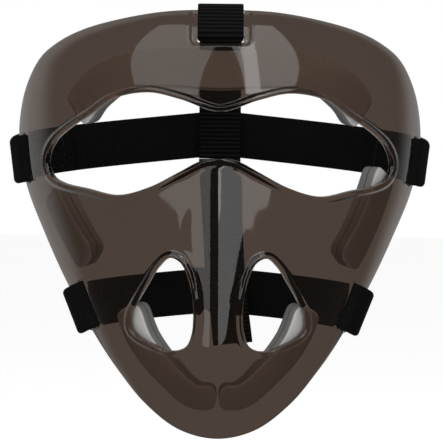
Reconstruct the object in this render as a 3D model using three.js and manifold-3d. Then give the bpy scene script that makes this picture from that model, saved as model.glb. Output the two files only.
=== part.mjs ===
import * as THREE from "three";
import { mergeVertices } from "three/addons/utils/BufferGeometryUtils.js";
import Module from "manifold-3d";

// Face mask for field hockey: a smoked clear shell on foam pads, held by elastic straps.
// Lengths are in millimetres. X runs to the right as seen from the front, the front faces
// -Y and Z is up. The origin lies between the temples, at the height of the eyes.

const wasm = await Module();
wasm.setup();

// Shell: its rim as seen from the front, how far it sweeps back, and its wall
const halfWidth = 116;
const topRise = 76.5;
const chinDrop = 158.5;
const templeBack = 20;
const foreheadFront = 52;
const faceFront = 74;
const poleRise = 8;
const wall = 3;
const wrapShare = 0.95;
const pastRimShare = 1.04;
const rayCount = 72;
const ringCount = 15;
const rimFineness = 8;
const innerRingShare = 0.07;
const rimCrowding = 1.35;

// Right half of the rim from the top to the chin: across, up or down, forward from the temple
const rimShares = [
  [0, 1, 1],
  [0.25, 0.991, 0.96],
  [0.475, 0.941, 0.86],
  [0.66, 0.872, 0.72],
  [0.785, 0.788, 0.58],
  [0.877, 0.68, 0.44],
  [0.96, 0.456, 0.21],
  [0.997, 0.2, 0.03],
  [0.995, 0.027, 0],
  [0.955, -0.126, 0.06],
  [0.855, -0.3, 0.21],
  [0.739, -0.472, 0.375],
  [0.583, -0.668, 0.555],
  [0.474, -0.779, 0.667],
  [0.345, -0.886, 0.805],
  [0.18, -0.972, 0.92],
  [0, -1, 0.98],
];

// Nose: a ridge that runs down from the bridge and fades between the vents
const noseRise = 15;
const noseHalfWidth = 14;
const noseShares = [
  // height (share of topRise above the eyes, of chinDrop below), rise, half width
  [0.26, 0, 1.6],
  [-0.03, 0.3, 1.9],
  [-0.14, 0.62, 1.75],
  [-0.25, 1, 1.3],
  [-0.31, 0.82, 1.1],
  [-0.4, 0.46, 0.95],
  [-0.56, 0.3, 0.95],
  [-0.78, 0, 1.1],
];

// Openings: one goggle-shaped eye opening and two vents, each with a rounded lip
const eyeWeb = 3.5;
const eyeRise = 30;
const eyeDrop = 25.3;
const ventAcross = 30.5;
const ventDown = 84.5;
const ventHalfWidth = 17;
const ventHalfHeight = 25.2;
const lipWidth = 4;
const lipRise = 1.6;
const lipShares = [
  // away from the opening (share of lipWidth), above (share of lipRise) or below (share of wall)
  [-0.25, -0.5],
  [-0.25, 0.8],
  [0.35, 1],
  [0.8, 0.6],
  [1, -0.125],
  [0.8, -0.5],
];
const eyeSteps = 72;
const ventSteps = 30;
const overrun = 6;

// Right half of the eye opening, from the brow down to the bridge of the nose
const eyeShares = [
  [0, 0.65],
  [0.22, 0.87],
  [0.403, 1],
  [0.598, 0.897],
  [0.736, 0.62],
  [0.86, 0.387],
  [0.953, 0.157],
  [0.995, -0.08],
  [1, -0.36],
  [0.966, -0.605],
  [0.9, -0.74],
  [0.76, -0.86],
  [0.575, -1],
  [0.396, -0.834],
  [0.22, -0.498],
  [0.1, -0.27],
  [0, -0.213],
];
const ventShares = [
  [-0.25, 1],
  [0.09, 0.81],
  [0.42, 0.46],
  [0.765, 0.07],
  [0.98, -0.24],
  [0.99, -0.53],
  [0.78, -0.7],
  [0.24, -0.88],
  [-0.36, -1],
  [-0.77, -0.9],
  [-0.95, -0.63],
  [-1, -0.16],
  [-0.95, 0.2],
  [-0.82, 0.57],
  [-0.58, 0.9],
];

// Foam pads stuck to the inside of the shell
const padThick = 12;
const padCrown = 1.5;
const padDraw = 1.2;
const padCorner = 6;
const padGap = 0.6;
const padRows = 18;
const padColumns = 5;
const browPadHalfWidth = 11.5;
const cheekPadHalfWidth = 11.5;
const jawPadHalfWidth = 10.5;
const jawPadChinShare = 0.7;

// Middle lines of the pads: across, and up or down
const browPadShares = [
  [0, 0.57],
  [0.26, 0.59],
  [0.48, 0.54],
  [0.62, 0.42],
  [0.715, 0.25],
];
const rightCheekPadShares = [
  [0.835, -0.068],
  [0.785, -0.18],
  [0.715, -0.3],
  [0.64, -0.395],
];
const leftCheekPadShares = [
  [0.845, -0.15],
  [0.8, -0.22],
  [0.73, -0.31],
  [0.655, -0.395],
];
const jawPadShares = [
  [0.455, -0.552],
  [0.385, -0.675],
  [0.25, -0.785],
  [0.12, -0.857],
  [0, -0.857],
];

// Head and jaw straps: elastic webbing through a slot near the rim, held by hook tape
const strapWide = 27;
const strapThick = 1.6;
const slotInset = 14;
const slotWide = 5;
const slotClear = 0.6;
const nearRimShare = 0.1;
const loopStandOff = 2.8;
const loopUnder = 1.8;
const loopPast = 6;
const outerEndShare = 0.9;
const tabLeadIn = 3;
const tabJoinSteps = 4;
const layerGap = 0.4;
const hookThick = 1.4;
const hookInset = 2;
const pieceGap = 0.3;
const headSlotDrop = 4;
const jawSlotDrop = 88;
const headBack = 80;
const headBackRise = 14;
const jawBack = 84;
const jawBackDrop = 80.5;
const runStops = 6;
const untwistStops = 4;
const framesPerStop = 4;
const backStop = 4;
const headTabStops = 2.75;
const jawTabStops = 2;
const loopShares = [
  // towards the rim (share of slotInset), out of the surface (share of the stand-off there)
  [0.6, -1],
  [0.2, -0.85],
  [0, 0],
  [0.2, 0.65],
  [0.65, 1],
  [1.05, 1.15],
];

// Crown strap: ribbed webbing from the forehead over the head, down to a hanging tail
const crownWide = 25;
const crownThick = 1.5;
const crownSlotInset = 20.5;
const crownSlotWide = 4.5;
const crownSlotClear = 1;
const crownStandOff = 0.8;
const crownUnder = 1.6;
const crownFold = 2.6;
const crownTopShare = 1.15;
const crownTurnShare = 1.6;
const recessDeep = 1.5;
const recessMargin = 3.5;
const crownLoopBack = 34;
const crownLoopShares = [
  // towards the rim (share of crownSlotInset), out of the surface (share of the stand-off there)
  [0.73, -1],
  [0.4, -1],
  [0.1, -0.9],
  [0, 0],
  [0.1, 0.8],
  [0.5, 1],
  [0.97, 1.1],
];
const crownArchRise = 82;
const crownRunShares = [
  // back (share of headBack), up (share of crownArchRise)
  [-0.06, 1],
  [0.31, 0.975],
  [0.62, 0.83],
  [0.82, 0.61],
  [0.925, 0.4],
];
const crownRearStop = 4;
const tailDrop = 113;
const tailDrift = 6;
const tailShares = [0, 0.25, 0.5, 0.75, 1];
const tackWide = 20;
const tackLong = 3;
const tackThick = 0.6;

// Finishes
const smoke = { color: 0x463e38, roughness: 0.08, metalness: 0 };
const foam = { color: 0x9a9896, roughness: 0.95, metalness: 0 };
const elastic = { color: 0x141414, roughness: 0.85, metalness: 0 };
const webbing = { color: 0x1c1c1c, roughness: 0.75, metalness: 0 };
const hookTape = { color: 0x26262a, roughness: 0.6, metalness: 0 };
const thread = { color: 0x101010, roughness: 0.7, metalness: 0 };

const up = new THREE.Vector3(0, 0, 1);
const right = new THREE.Vector3(1, 0, 0);

// Height from a share: of the rise above the eyes, or of the drop below them
function heightOf(share, rise = topRise, drop = chinDrop) {
  return share * (share > 0 ? rise : drop);
}

// Closed outline or rim from its right half, mirrored to the left
function mirrored(points) {
  const left = points.slice(1, -1).reverse();
  return points.concat(left.map((point) => new THREE.Vector3(-point.x, point.y, point.z)));
}

const rimCurve = new THREE.CatmullRomCurve3(
  mirrored(rimShares.map(([across, height, forward]) => new THREE.Vector3(
    across * halfWidth,
    templeBack - forward * (templeBack + foreheadFront),
    heightOf(height),
  ))),
  true,
  "centripetal",
);

const rimSteps = rayCount * rimFineness;
const rimTable = rimCurve.getPoints(rimSteps)
  .filter((point, step) => step <= rimSteps / 2)
  .map((point) => ({
    angle: Math.atan2(point.x, point.z - poleRise),
    radius: Math.hypot(point.x, point.z - poleRise),
    depth: point.y,
  }));

// Rim in the direction of a point, seen from the pole between the eyes
function rimToward(x, z) {
  const angle = Math.atan2(Math.abs(x), z - poleRise);
  const next = Math.max(1, rimTable.findIndex((entry) => entry.angle >= angle));
  const before = rimTable[next - 1];
  const after = rimTable[next];
  const share = Math.min(1, Math.max(0, (angle - before.angle) / (after.angle - before.angle)));
  return {
    radius: THREE.MathUtils.lerp(before.radius, after.radius, share),
    depth: THREE.MathUtils.lerp(before.depth, after.depth, share),
  };
}

// Rise and half width of the nose ridge at a height
function noseAt(z) {
  const rows = noseShares.map(([height, rise, width]) => [heightOf(height), rise, width]);
  if (z >= rows[0][0] || z <= rows[rows.length - 1][0]) {
    return { rise: 0, width: noseHalfWidth };
  }
  const next = rows.findIndex((row) => row[0] < z);
  const [topZ, topShare, topWidth] = rows[next - 1];
  const [lowZ, lowShare, lowWidth] = rows[next];
  const share = THREE.MathUtils.smoothstep((topZ - z) / (topZ - lowZ), 0, 1);
  return {
    rise: noseRise * THREE.MathUtils.lerp(topShare, lowShare, share),
    width: noseHalfWidth * THREE.MathUtils.lerp(topWidth, lowWidth, share),
  };
}

// Y of the shell's outer surface at a place seen from the front
function depthAt(x, z) {
  const rim = rimToward(x, z);
  const reach = Math.min(pastRimShare, Math.hypot(x, z - poleRise) / rim.radius);
  const edge = Math.sqrt(1 - wrapShare ** 2);
  const dome = (Math.sqrt(1 - (wrapShare * reach) ** 2) - edge) / (1 - edge);
  const nose = noseAt(z);
  const across = Math.min(1, Math.abs(x) / nose.width);
  const ridge = nose.rise * (1 + Math.cos(Math.PI * across)) / 2;
  return rim.depth - (rim.depth + faceFront) * dome - ridge;
}

function surfaceAt(x, z) {
  return new THREE.Vector3(x, depthAt(x, z), z);
}

const slopeStep = wall / 10;

function normalAt(x, z) {
  const slopeX = (depthAt(x + slopeStep, z) - depthAt(x - slopeStep, z)) / (2 * slopeStep);
  const slopeZ = (depthAt(x, z + slopeStep) - depthAt(x, z - slopeStep)) / (2 * slopeStep);
  return new THREE.Vector3(slopeX, -1, slopeZ).normalize();
}

// Closed mesh from points and triangles, turned so that its faces point outwards
function closedMesh(points, triangles) {
  let volume = 0;
  for (const [a, b, c] of triangles) {
    volume += points[a].dot(points[b].clone().cross(points[c]));
  }
  const geometry = new THREE.BufferGeometry();
  const index = triangles.flatMap(([a, b, c]) => (volume > 0 ? [a, b, c] : [a, c, b]));
  geometry.setAttribute("position", new THREE.Float32BufferAttribute(
    points.flatMap((point) => point.toArray()),
    3,
  ));
  geometry.setIndex(index);
  geometry.computeVertexNormals();
  return geometry;
}

// Two triangles for each cell between two rows of points
function stitch(triangles, first, second, count, closed) {
  const last = closed ? count : count - 1;
  for (let i = 0; i < last; i += 1) {
    const j = (i + 1) % count;
    triangles.push([first + i, first + j, second + j], [first + i, second + j, second + i]);
  }
}

// Sections of equal point count joined into a tube, with flat ends or closed on itself
function loft(sections, closed = false) {
  const count = sections[0].length;
  const triangles = [];
  const rows = closed ? sections.length : sections.length - 1;
  for (let row = 0; row < rows; row += 1) {
    stitch(triangles, row * count, ((row + 1) % sections.length) * count, count, true);
  }
  if (!closed) {
    const end = (sections.length - 1) * count;
    for (let i = 1; i < count - 1; i += 1) {
      triangles.push([0, i + 1, i], [end, end + i, end + i + 1]);
    }
  }
  return closedMesh(sections.flat(), triangles);
}

function toSolid(geometry) {
  const bare = new THREE.BufferGeometry();
  bare.setAttribute("position", geometry.getAttribute("position"));
  bare.setIndex(geometry.getIndex());
  const merged = mergeVertices(bare, wall / 10000);
  return new wasm.Manifold(new wasm.Mesh({
    numProp: 3,
    vertProperties: new Float32Array(merged.getAttribute("position").array),
    triVerts: new Uint32Array(merged.getIndex().array),
  }));
}

function toGeometry(solid) {
  const mesh = solid.getMesh();
  const geometry = new THREE.BufferGeometry();
  geometry.setAttribute("position", new THREE.Float32BufferAttribute(mesh.vertProperties, 3));
  geometry.setIndex(new THREE.Uint32BufferAttribute(mesh.triVerts, 1));
  geometry.computeVertexNormals();
  return geometry;
}

// The eye opening reaches out to a web beside the head strap's slots
const eyeReach = halfWidth - slotInset - slotWide / 2 - eyeWeb;

// Outlines of the openings, evenly stepped, as seen from the front
const eyeOutline = new THREE.CatmullRomCurve3(
  mirrored(eyeShares.map(([across, height]) => new THREE.Vector3(
    across * eyeReach,
    0,
    heightOf(height, eyeRise, eyeDrop),
  ))),
  true,
  "centripetal",
).getSpacedPoints(eyeSteps).slice(0, -1);

function ventOutline(side) {
  return new THREE.CatmullRomCurve3(
    ventShares.map(([across, height]) => new THREE.Vector3(
      side * (ventAcross + across * ventHalfWidth),
      0,
      height * ventHalfHeight - ventDown,
    )),
    true,
    "centripetal",
  ).getSpacedPoints(ventSteps).slice(0, -1);
}

// Shell before its openings are cut: a dome with a small hole at the pole
function domeGeometry() {
  const rim = rimCurve.getSpacedPoints(rayCount).slice(0, -1);
  const outer = [];
  const inner = [];
  for (let ring = 0; ring <= ringCount; ring += 1) {
    const step = 1 - (1 - ring / ringCount) ** rimCrowding;
    const reach = THREE.MathUtils.lerp(innerRingShare, 1, step);
    for (const point of rim) {
      const x = point.x * reach;
      const z = poleRise + (point.z - poleRise) * reach;
      const place = surfaceAt(x, z);
      outer.push(place);
      inner.push(place.clone().addScaledVector(normalAt(x, z), -wall));
    }
  }
  const triangles = [];
  const innerStart = outer.length;
  for (let ring = 0; ring < ringCount; ring += 1) {
    const row = ring * rayCount;
    stitch(triangles, row, row + rayCount, rayCount, true);
    stitch(triangles, innerStart + row + rayCount, innerStart + row, rayCount, true);
  }
  const edge = ringCount * rayCount;
  stitch(triangles, innerStart, 0, rayCount, true);
  stitch(triangles, edge, innerStart + edge, rayCount, true);
  return closedMesh(outer.concat(inner), triangles);
}

// Rounded lip on the outside of the shell, round an opening
function lipGeometry(outline) {
  const count = outline.length;
  const flat = outline.map((point) => new THREE.Vector2(point.x, point.z));
  const turn = THREE.ShapeUtils.isClockWise(flat) ? -1 : 1;
  const sections = outline.map((point, i) => {
    const place = surfaceAt(point.x, point.z);
    const normal = normalAt(point.x, point.z);
    const before = outline[(i + count - 1) % count];
    const after = outline[(i + 1) % count];
    const along = surfaceAt(after.x, after.z).sub(surfaceAt(before.x, before.z)).normalize();
    const away = along.cross(normal).normalize().multiplyScalar(turn);
    return lipShares.map(([out, rise]) => place.clone()
      .addScaledVector(away, out * lipWidth)
      .addScaledVector(normal, rise > 0 ? rise * lipRise : rise * wall));
  });
  return loft(sections, true);
}

// Through cut along Y with the shape of an outline
function openingGeometry(outline) {
  const shape = new THREE.Shape(outline.map((point) => new THREE.Vector2(point.x, point.z)));
  const front = faceFront + noseRise + overrun;
  const prism = new THREE.ExtrudeGeometry(shape, { depth: front + templeBack, bevelEnabled: false });
  prism.rotateX(Math.PI / 2);
  prism.translate(0, templeBack, 0);
  return prism;
}

// Where the rim passes a height on the right, or the top middle when no height is given
function rimPlace(height = null) {
  const share = height === null ? 0 : [...Array(rimSteps / 2).keys()]
    .map((step) => step / rimSteps)
    .find((step) => rimCurve.getPoint(step).z < height);
  return { point: rimCurve.getPoint(share), tangent: rimCurve.getTangent(share) };
}

// Directions at a slot some way in from the rim: place, out of the surface, to the rim, along it
function slotFrame(edge, inset) {
  const inward = new THREE.Vector3(edge.tangent.z, 0, -edge.tangent.x).normalize();
  if (inward.z * (edge.point.z - poleRise) > 0) {
    inward.negate();
  }
  const rim = surfaceAt(edge.point.x, edge.point.z);
  const placeAt = (step) => surfaceAt(rim.x + inward.x * step, rim.z + inward.z * step);
  let near = 0;
  let far = inset;
  for (let halving = 0; halving < 40; halving += 1) {
    const middle = (near + far) / 2;
    if (placeAt(middle).distanceTo(rim) > inset) {
      far = middle;
    } else {
      near = middle;
    }
  }
  const place = placeAt(near);
  const normal = normalAt(place.x, place.z);
  const outward = rim.clone().sub(place);
  outward.addScaledVector(normal, -outward.dot(normal)).normalize();
  const along = normal.clone().cross(outward).normalize();
  return { place, normal, outward, along, rim, inset };
}

const headSlot = slotFrame(rimPlace(-headSlotDrop), slotInset);
const jawSlot = slotFrame(rimPlace(-jawSlotDrop), slotInset);
const crownSlot = slotFrame(rimPlace(), crownSlotInset);

// Place over the surface between a slot and the rim, or straight on past the rim
function fromSlot(frame, share, rise) {
  const { place, rim, inset } = frame;
  const along = Math.min(1, share);
  const x = THREE.MathUtils.lerp(place.x, rim.x, along);
  const z = THREE.MathUtils.lerp(place.z, rim.z, along);
  const start = surfaceAt(x, z).addScaledVector(normalAt(x, z), rise);
  const near = surfaceAt(
    THREE.MathUtils.lerp(rim.x, place.x, nearRimShare),
    THREE.MathUtils.lerp(rim.z, place.z, nearRimShare),
  );
  const onward = rim.clone().sub(near).normalize();
  return start.addScaledVector(onward, Math.max(0, share - 1) * inset);
}

// Box on a slot's directions, between two heights over the surface
function slotBox(frame, length, from, to, low, high) {
  const box = new THREE.BoxGeometry(length, to - from, high - low);
  box.translate(0, (to + from) / 2, (high + low) / 2);
  const basis = new THREE.Matrix4().makeBasis(
    frame.outward.clone().cross(frame.normal),
    frame.outward,
    frame.normal,
  );
  basis.setPosition(frame.place);
  box.applyMatrix4(basis);
  return box;
}

function mirrorPoint(point) {
  return new THREE.Vector3(-point.x, point.y, point.z);
}

function mirrorFrame(frame) {
  const turned = ([key, value]) => [key, value.isVector3 ? mirrorPoint(value) : value];
  return Object.fromEntries(Object.entries(frame).map(turned));
}

// Shell: the dome with its lips, less the eye opening, vents, strap slots and strap recess
function shellGeometry() {
  const outlines = [eyeOutline, ventOutline(1), ventOutline(-1)];
  let solid = toSolid(domeGeometry());
  for (const outline of outlines) {
    solid = solid.add(toSolid(lipGeometry(outline)));
  }
  for (const outline of outlines) {
    solid = solid.subtract(toSolid(openingGeometry(outline)));
  }
  const half = slotWide / 2;
  for (const slot of [headSlot, mirrorFrame(headSlot), jawSlot, mirrorFrame(jawSlot)]) {
    const length = strapWide + 2 * slotClear;
    solid = solid.subtract(toSolid(slotBox(slot, length, -half, half, -wall - overrun, overrun)));
  }
  const crownHalf = crownSlotWide / 2;
  const crownLength = crownWide + 2 * crownSlotClear;
  solid = solid.subtract(toSolid(
    slotBox(crownSlot, crownLength, -crownHalf, crownHalf, -wall - overrun, overrun),
  ));
  const recess = slotBox(
    crownSlot,
    crownWide + 2 * recessMargin,
    0,
    crownSlotInset - recessMargin,
    -recessDeep,
    overrun,
  );
  return toGeometry(solid.subtract(toSolid(recess)));
}

// Foam pad on the inside of the shell along a middle line seen from the front
function padGeometry(middleLine, halfWidth, endHalfWidth = halfWidth) {
  const curve = new THREE.CatmullRomCurve3(middleLine, false, "centripetal");
  const length = curve.getLength();
  const sections = [];
  for (let row = 0; row <= padRows; row += 1) {
    const share = (1 - Math.cos(Math.PI * row / padRows)) / 2;
    const middle = curve.getPointAt(share);
    const tangent = curve.getTangentAt(share);
    const ahead = surfaceAt(middle.x + tangent.x * slopeStep, middle.z + tangent.z * slopeStep);
    const along = ahead.sub(surfaceAt(middle.x, middle.z)).normalize();
    const across = along.clone().cross(normalAt(middle.x, middle.z)).normalize();
    const toEnd = Math.min(share, 1 - share) * length;
    const rounding = toEnd < padCorner
      ? padCorner - Math.sqrt(padCorner ** 2 - (padCorner - toEnd) ** 2)
      : 0;
    const reach = THREE.MathUtils.lerp(halfWidth, endHalfWidth, share) - rounding;
    const place = (width, depth) => {
      const x = middle.x + across.x * width;
      const z = middle.z + across.z * width;
      return surfaceAt(x, z).addScaledVector(normalAt(x, z), -wall - padGap - depth);
    };
    const columns = [...Array(padColumns + 1).keys()].map((step) => 2 * step / padColumns - 1);
    const front = columns.map((column) => place(column * reach, 0));
    const back = columns.map((column) => {
      const crown = padCrown * (1 - column ** 2) * Math.sin(Math.PI * share);
      return place(column * (reach - padDraw), padThick - padCrown + crown);
    });
    const sides = [1, -1].map((side) => place(side * (reach - padDraw / 2), padThick / 2));
    sections.push([...front, sides[0], ...back.reverse(), sides[1]]);
  }
  return loft(sections);
}

function middleLine(shares, side = 1) {
  return shares.map(([across, height]) => new THREE.Vector3(
    side * across * halfWidth,
    0,
    heightOf(height),
  ));
}

function browPad() {
  const rightHalf = middleLine(browPadShares);
  const leftHalf = middleLine(browPadShares, -1).slice(1).reverse();
  return padGeometry(leftHalf.concat(rightHalf), browPadHalfWidth);
}

function cheekPad(side) {
  const shares = side > 0 ? rightCheekPadShares : leftCheekPadShares;
  return padGeometry(middleLine(shares, side), cheekPadHalfWidth);
}

function jawPad(side) {
  const line = middleLine(jawPadShares, side);
  line[line.length - 1].x = side * padGap;
  return padGeometry(line, jawPadHalfWidth, jawPadHalfWidth * jawPadChinShare);
}

// Path of a strap: places with the direction of its width, passed through in order
class StrapPath {
  constructor(stops) {
    this.curve = new THREE.CatmullRomCurve3(stops.map((stop) => stop.place), false, "centripetal");
    this.wide = stops.map((stop) => stop.wide);
    this.last = stops.length - 1;
  }

  // Place and directions at a stop or between two, moved straight on by a length
  frame(stop, shift = 0) {
    const low = Math.min(this.last - 1, Math.floor(stop));
    const tangent = this.curve.getTangent(stop / this.last);
    const place = this.curve.getPoint(stop / this.last).addScaledVector(tangent, shift);
    const wide = this.wide[low].clone().lerp(this.wide[low + 1], stop - low);
    wide.addScaledVector(tangent, -wide.dot(tangent)).normalize();
    return { place, wide, flat: tangent.clone().cross(wide).normalize() };
  }

  // Frames between two stops, with the first moved on and the last moved back for a gap
  frames(from, to, startShift = 0, endShift = 0, perStop = framesPerStop) {
    const frames = [this.frame(from, startShift)];
    const steps = Math.round((to - from) * perStop);
    for (let step = 1; step < steps; step += 1) {
      frames.push(this.frame(from + step / perStop));
    }
    return [...frames, this.frame(to, -endShift)];
  }
}

// Flat band through the frames, offset to one side of them
function bandGeometry(frames, width, thick, offset = 0) {
  return loft(frames.map(({ place, wide, flat }) => (
    [[-1, -1], [1, -1], [1, 1], [-1, 1]].map(([u, v]) => place.clone()
      .addScaledVector(wide, u * width / 2)
      .addScaledVector(flat, offset + v * thick / 2))
  )));
}

// Elastic strap on the right: from inside the slot, round the rim and along to the middle
// of the back. The loop takes the first stops and the run behind the rim the others.
function elasticPath(slot, backY, backZ) {
  const outer = strapThick / 2 + loopStandOff;
  const inner = wall + loopUnder + strapThick / 2;
  const end = 1 + loopPast / slotInset;
  const turn = loopShares.map(([toRim, rise]) => fromSlot(
    slot,
    toRim,
    rise > 0 ? rise * outer : rise * inner - (rise === 0 ? wall / 2 : 0),
  ));
  const innerEnd = fromSlot(slot, end, -inner);
  const outerEnd = fromSlot(slot, end, outer * outerEndShare);
  const loop = [innerEnd, ...turn, outerEnd];
  const stops = loop.map((place) => ({ place, wide: slot.along }));
  for (let stop = 1; stop <= runStops; stop += 1) {
    const share = stop / runStops;
    const angle = share * Math.PI / 2;
    stops.push({
      place: new THREE.Vector3(
        outerEnd.x * Math.cos(angle),
        THREE.MathUtils.lerp(outerEnd.y, backY, Math.sin(angle)),
        THREE.MathUtils.lerp(outerEnd.z, backZ, share),
      ),
      wide: slot.along.clone().lerp(up, Math.min(1, stop / untwistStops)).normalize(),
    });
  }
  return { path: new StrapPath(stops), loopEnd: loop.length - 1 };
}

const layerStep = strapThick + hookThick + 2 * layerGap;

// Free end of an elastic strap: from inside the loop, back along the inner face of the run
function tabPath({ path, loopEnd }, tabStops) {
  const stops = [0, 0.5, 1].map((share) => path.frame(0, -pieceGap - share * tabLeadIn));
  const loopDepth = path.frame(0).place.distanceTo(path.frame(loopEnd).place);
  for (let step = tabJoinSteps; step <= tabStops * framesPerStop; step += 1) {
    const stop = step / framesPerStop;
    const { place, wide, flat } = path.frame(loopEnd + stop);
    const apart = THREE.MathUtils.lerp(loopDepth, layerStep, THREE.MathUtils.smoothstep(stop, 0, 1));
    stops.push({ place: place.addScaledVector(flat, -apart), wide });
  }
  return new StrapPath(stops);
}

const meshes = [];

function addMesh(name, geometry, finish) {
  const mesh = new THREE.Mesh(geometry, new THREE.MeshStandardMaterial(finish));
  mesh.name = name;
  meshes.push(mesh);
}

// One elastic strap: two loops, two runs, the back, and two tabs with their hook tape
function addElastic(name, slot, backY, backZ, tabStops) {
  const strap = elasticPath(slot, backY, backZ);
  const { path, loopEnd } = strap;
  const tab = tabPath(strap, tabStops);
  const half = pieceGap / 2;
  const backStart = loopEnd + backStop;
  const tapeStart = loopEnd + (tabJoinSteps + 1) / framesPerStop;
  const tape = path.frames(tapeStart, loopEnd + tabStops, 0, hookInset);
  const tapeWide = strapWide - 2 * hookInset;
  const layers = [
    ["strap_loop", path.frames(0, loopEnd, 0, half), strapWide, strapThick, 0, elastic],
    ["strap_side", path.frames(loopEnd, backStart, half, half), strapWide, strapThick, 0, elastic],
    ["strap_tab", tab.frames(0, tab.last, 0, 0, 2), strapWide, strapThick, 0, elastic],
    ["hook_tape", tape, tapeWide, hookThick, -layerStep / 2, hookTape],
  ];
  for (const [layer, frames, width, thick, offset, finish] of layers) {
    for (const [side, turned] of [["left", frames.map(mirrorFrame)], ["right", frames]]) {
      addMesh(`${side}_${name}_${layer}`, bandGeometry(turned, width, thick, offset), finish);
    }
  }
  const rightHalf = path.frames(backStart, path.last, half);
  rightHalf[rightHalf.length - 1].wide = up;
  const leftHalf = rightHalf.slice(0, -1).reverse().map(mirrorFrame);
  const back = bandGeometry(rightHalf.concat(leftHalf), strapWide, strapThick);
  addMesh(`${name}_strap_back`, back, elastic);
}

// Crown strap: a loop through the forehead slot, the run over the head, and the hanging tail
function addCrown() {
  const outer = crownStandOff + crownThick / 2;
  const inner = wall + crownUnder + crownThick / 2;
  const topRun = crownSlot.rim.z + crownFold * crownTopShare;
  const underRun = topRun - crownThick - layerGap;
  const at = (y, z) => new THREE.Vector3(0, y, z);
  const tapeY = headBack - strapThick / 2 - 3 * layerGap - hookThick / 2;
  const rearY = tapeY - hookThick / 2 - layerGap - crownThick / 2;
  const rearEnd = headBackRise - strapWide / 2 - hookInset;
  const loopPlaces = [
    at(-crownLoopBack, underRun),
    at(-crownLoopBack - 3 * crownFold, underRun - crownFold / 2),
    ...crownLoopShares.map(([toRim, rise]) => fromSlot(
      crownSlot,
      toRim,
      rise > 0 ? rise * outer : rise * inner - (rise === 0 ? wall / 2 : 0),
    )),
    at(crownSlot.rim.y + crownFold * crownTurnShare, crownSlot.rim.z + crownFold),
    at(-crownLoopBack, topRun),
  ];
  const runPlaces = [
    ...crownRunShares.map(([back, rise]) => at(back * headBack, rise * crownArchRise)),
    at(rearY, headBackRise),
    at(rearY, rearEnd),
  ];
  const path = new StrapPath([...loopPlaces, ...runPlaces].map((place) => ({ place, wide: right })));
  const loopEnd = loopPlaces.length - 1;
  const rearStart = loopEnd + crownRearStop;
  const half = pieceGap / 2;
  const tail = new StrapPath(tailShares.map((share) => ({
    place: new THREE.Vector3(
      tailDrift * share ** 2,
      rearY,
      THREE.MathUtils.lerp(rearEnd - pieceGap, -tailDrop, share),
    ),
    wide: right,
  })));
  const stretches = [
    ["loop", path.frames(0, loopEnd, 0, half)],
    ["top", path.frames(loopEnd, rearStart, half, half)],
    ["rear", path.frames(rearStart, path.last, half)],
    ["tail", tail.frames(0, tail.last)],
  ];
  for (const [stretch, frames] of stretches) {
    addMesh(`crown_strap_${stretch}`, bandGeometry(frames, crownWide, crownThick), webbing);
  }
  const tape = new THREE.BoxGeometry(
    crownWide - 2 * hookInset,
    hookThick,
    strapWide - 2 * hookInset,
  );
  tape.translate(0, tapeY, headBackRise);
  addMesh("crown_hook_tape", tape, hookTape);
  const tack = new THREE.BoxGeometry(tackWide, tackLong, tackThick);
  const tackRise = topRun + crownThick / 2 + layerGap + tackThick / 2;
  tack.translate(0, tackLong - crownLoopBack - crownFold * 2, tackRise);
  addMesh("crown_loop_tack", tack, thread);
}

addMesh("face_shell", shellGeometry(), smoke);
addMesh("brow_pad", browPad(), foam);
addMesh("left_cheek_pad", cheekPad(-1), foam);
addMesh("right_cheek_pad", cheekPad(1), foam);
addMesh("left_jaw_pad", jawPad(-1), foam);
addMesh("right_jaw_pad", jawPad(1), foam);
addElastic("head", headSlot, headBack, headBackRise, headTabStops);
addElastic("jaw", jawSlot, jawBack, -jawBackDrop, jawTabStops);
addCrown();

const mask = new THREE.Group();
mask.add(...meshes);

export default mask;
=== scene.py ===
import math

import bpy
import numpy as np
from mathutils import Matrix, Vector, geometry


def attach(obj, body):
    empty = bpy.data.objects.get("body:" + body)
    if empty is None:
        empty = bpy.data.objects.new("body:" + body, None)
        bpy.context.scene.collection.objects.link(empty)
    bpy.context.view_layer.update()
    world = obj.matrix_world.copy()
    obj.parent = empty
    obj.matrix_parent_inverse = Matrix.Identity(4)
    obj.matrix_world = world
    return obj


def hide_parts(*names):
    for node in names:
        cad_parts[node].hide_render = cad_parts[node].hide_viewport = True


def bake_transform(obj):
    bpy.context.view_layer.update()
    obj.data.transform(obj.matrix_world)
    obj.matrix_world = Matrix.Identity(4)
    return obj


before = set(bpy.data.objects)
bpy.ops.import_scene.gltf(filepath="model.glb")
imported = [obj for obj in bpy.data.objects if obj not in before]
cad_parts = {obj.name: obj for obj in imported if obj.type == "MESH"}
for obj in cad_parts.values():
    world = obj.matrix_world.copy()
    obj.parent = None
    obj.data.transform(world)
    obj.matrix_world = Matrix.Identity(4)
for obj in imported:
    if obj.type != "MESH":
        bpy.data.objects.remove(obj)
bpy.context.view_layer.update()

# Field hockey face mask: a smoked clear shell, foam pads and three straps.
# Sizes are millimetres, as a maker reads them, and mm turns them into Blender's metres.

mm = 0.001
bpy.ops.object.select_all(action="DESELECT")


# Curves

tangentStep = 1e-3        # in stops, to either side of where a curve's direction is read


def unit(vectors):
    return vectors / np.linalg.norm(vectors, axis=-1, keepdims=True)


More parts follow.
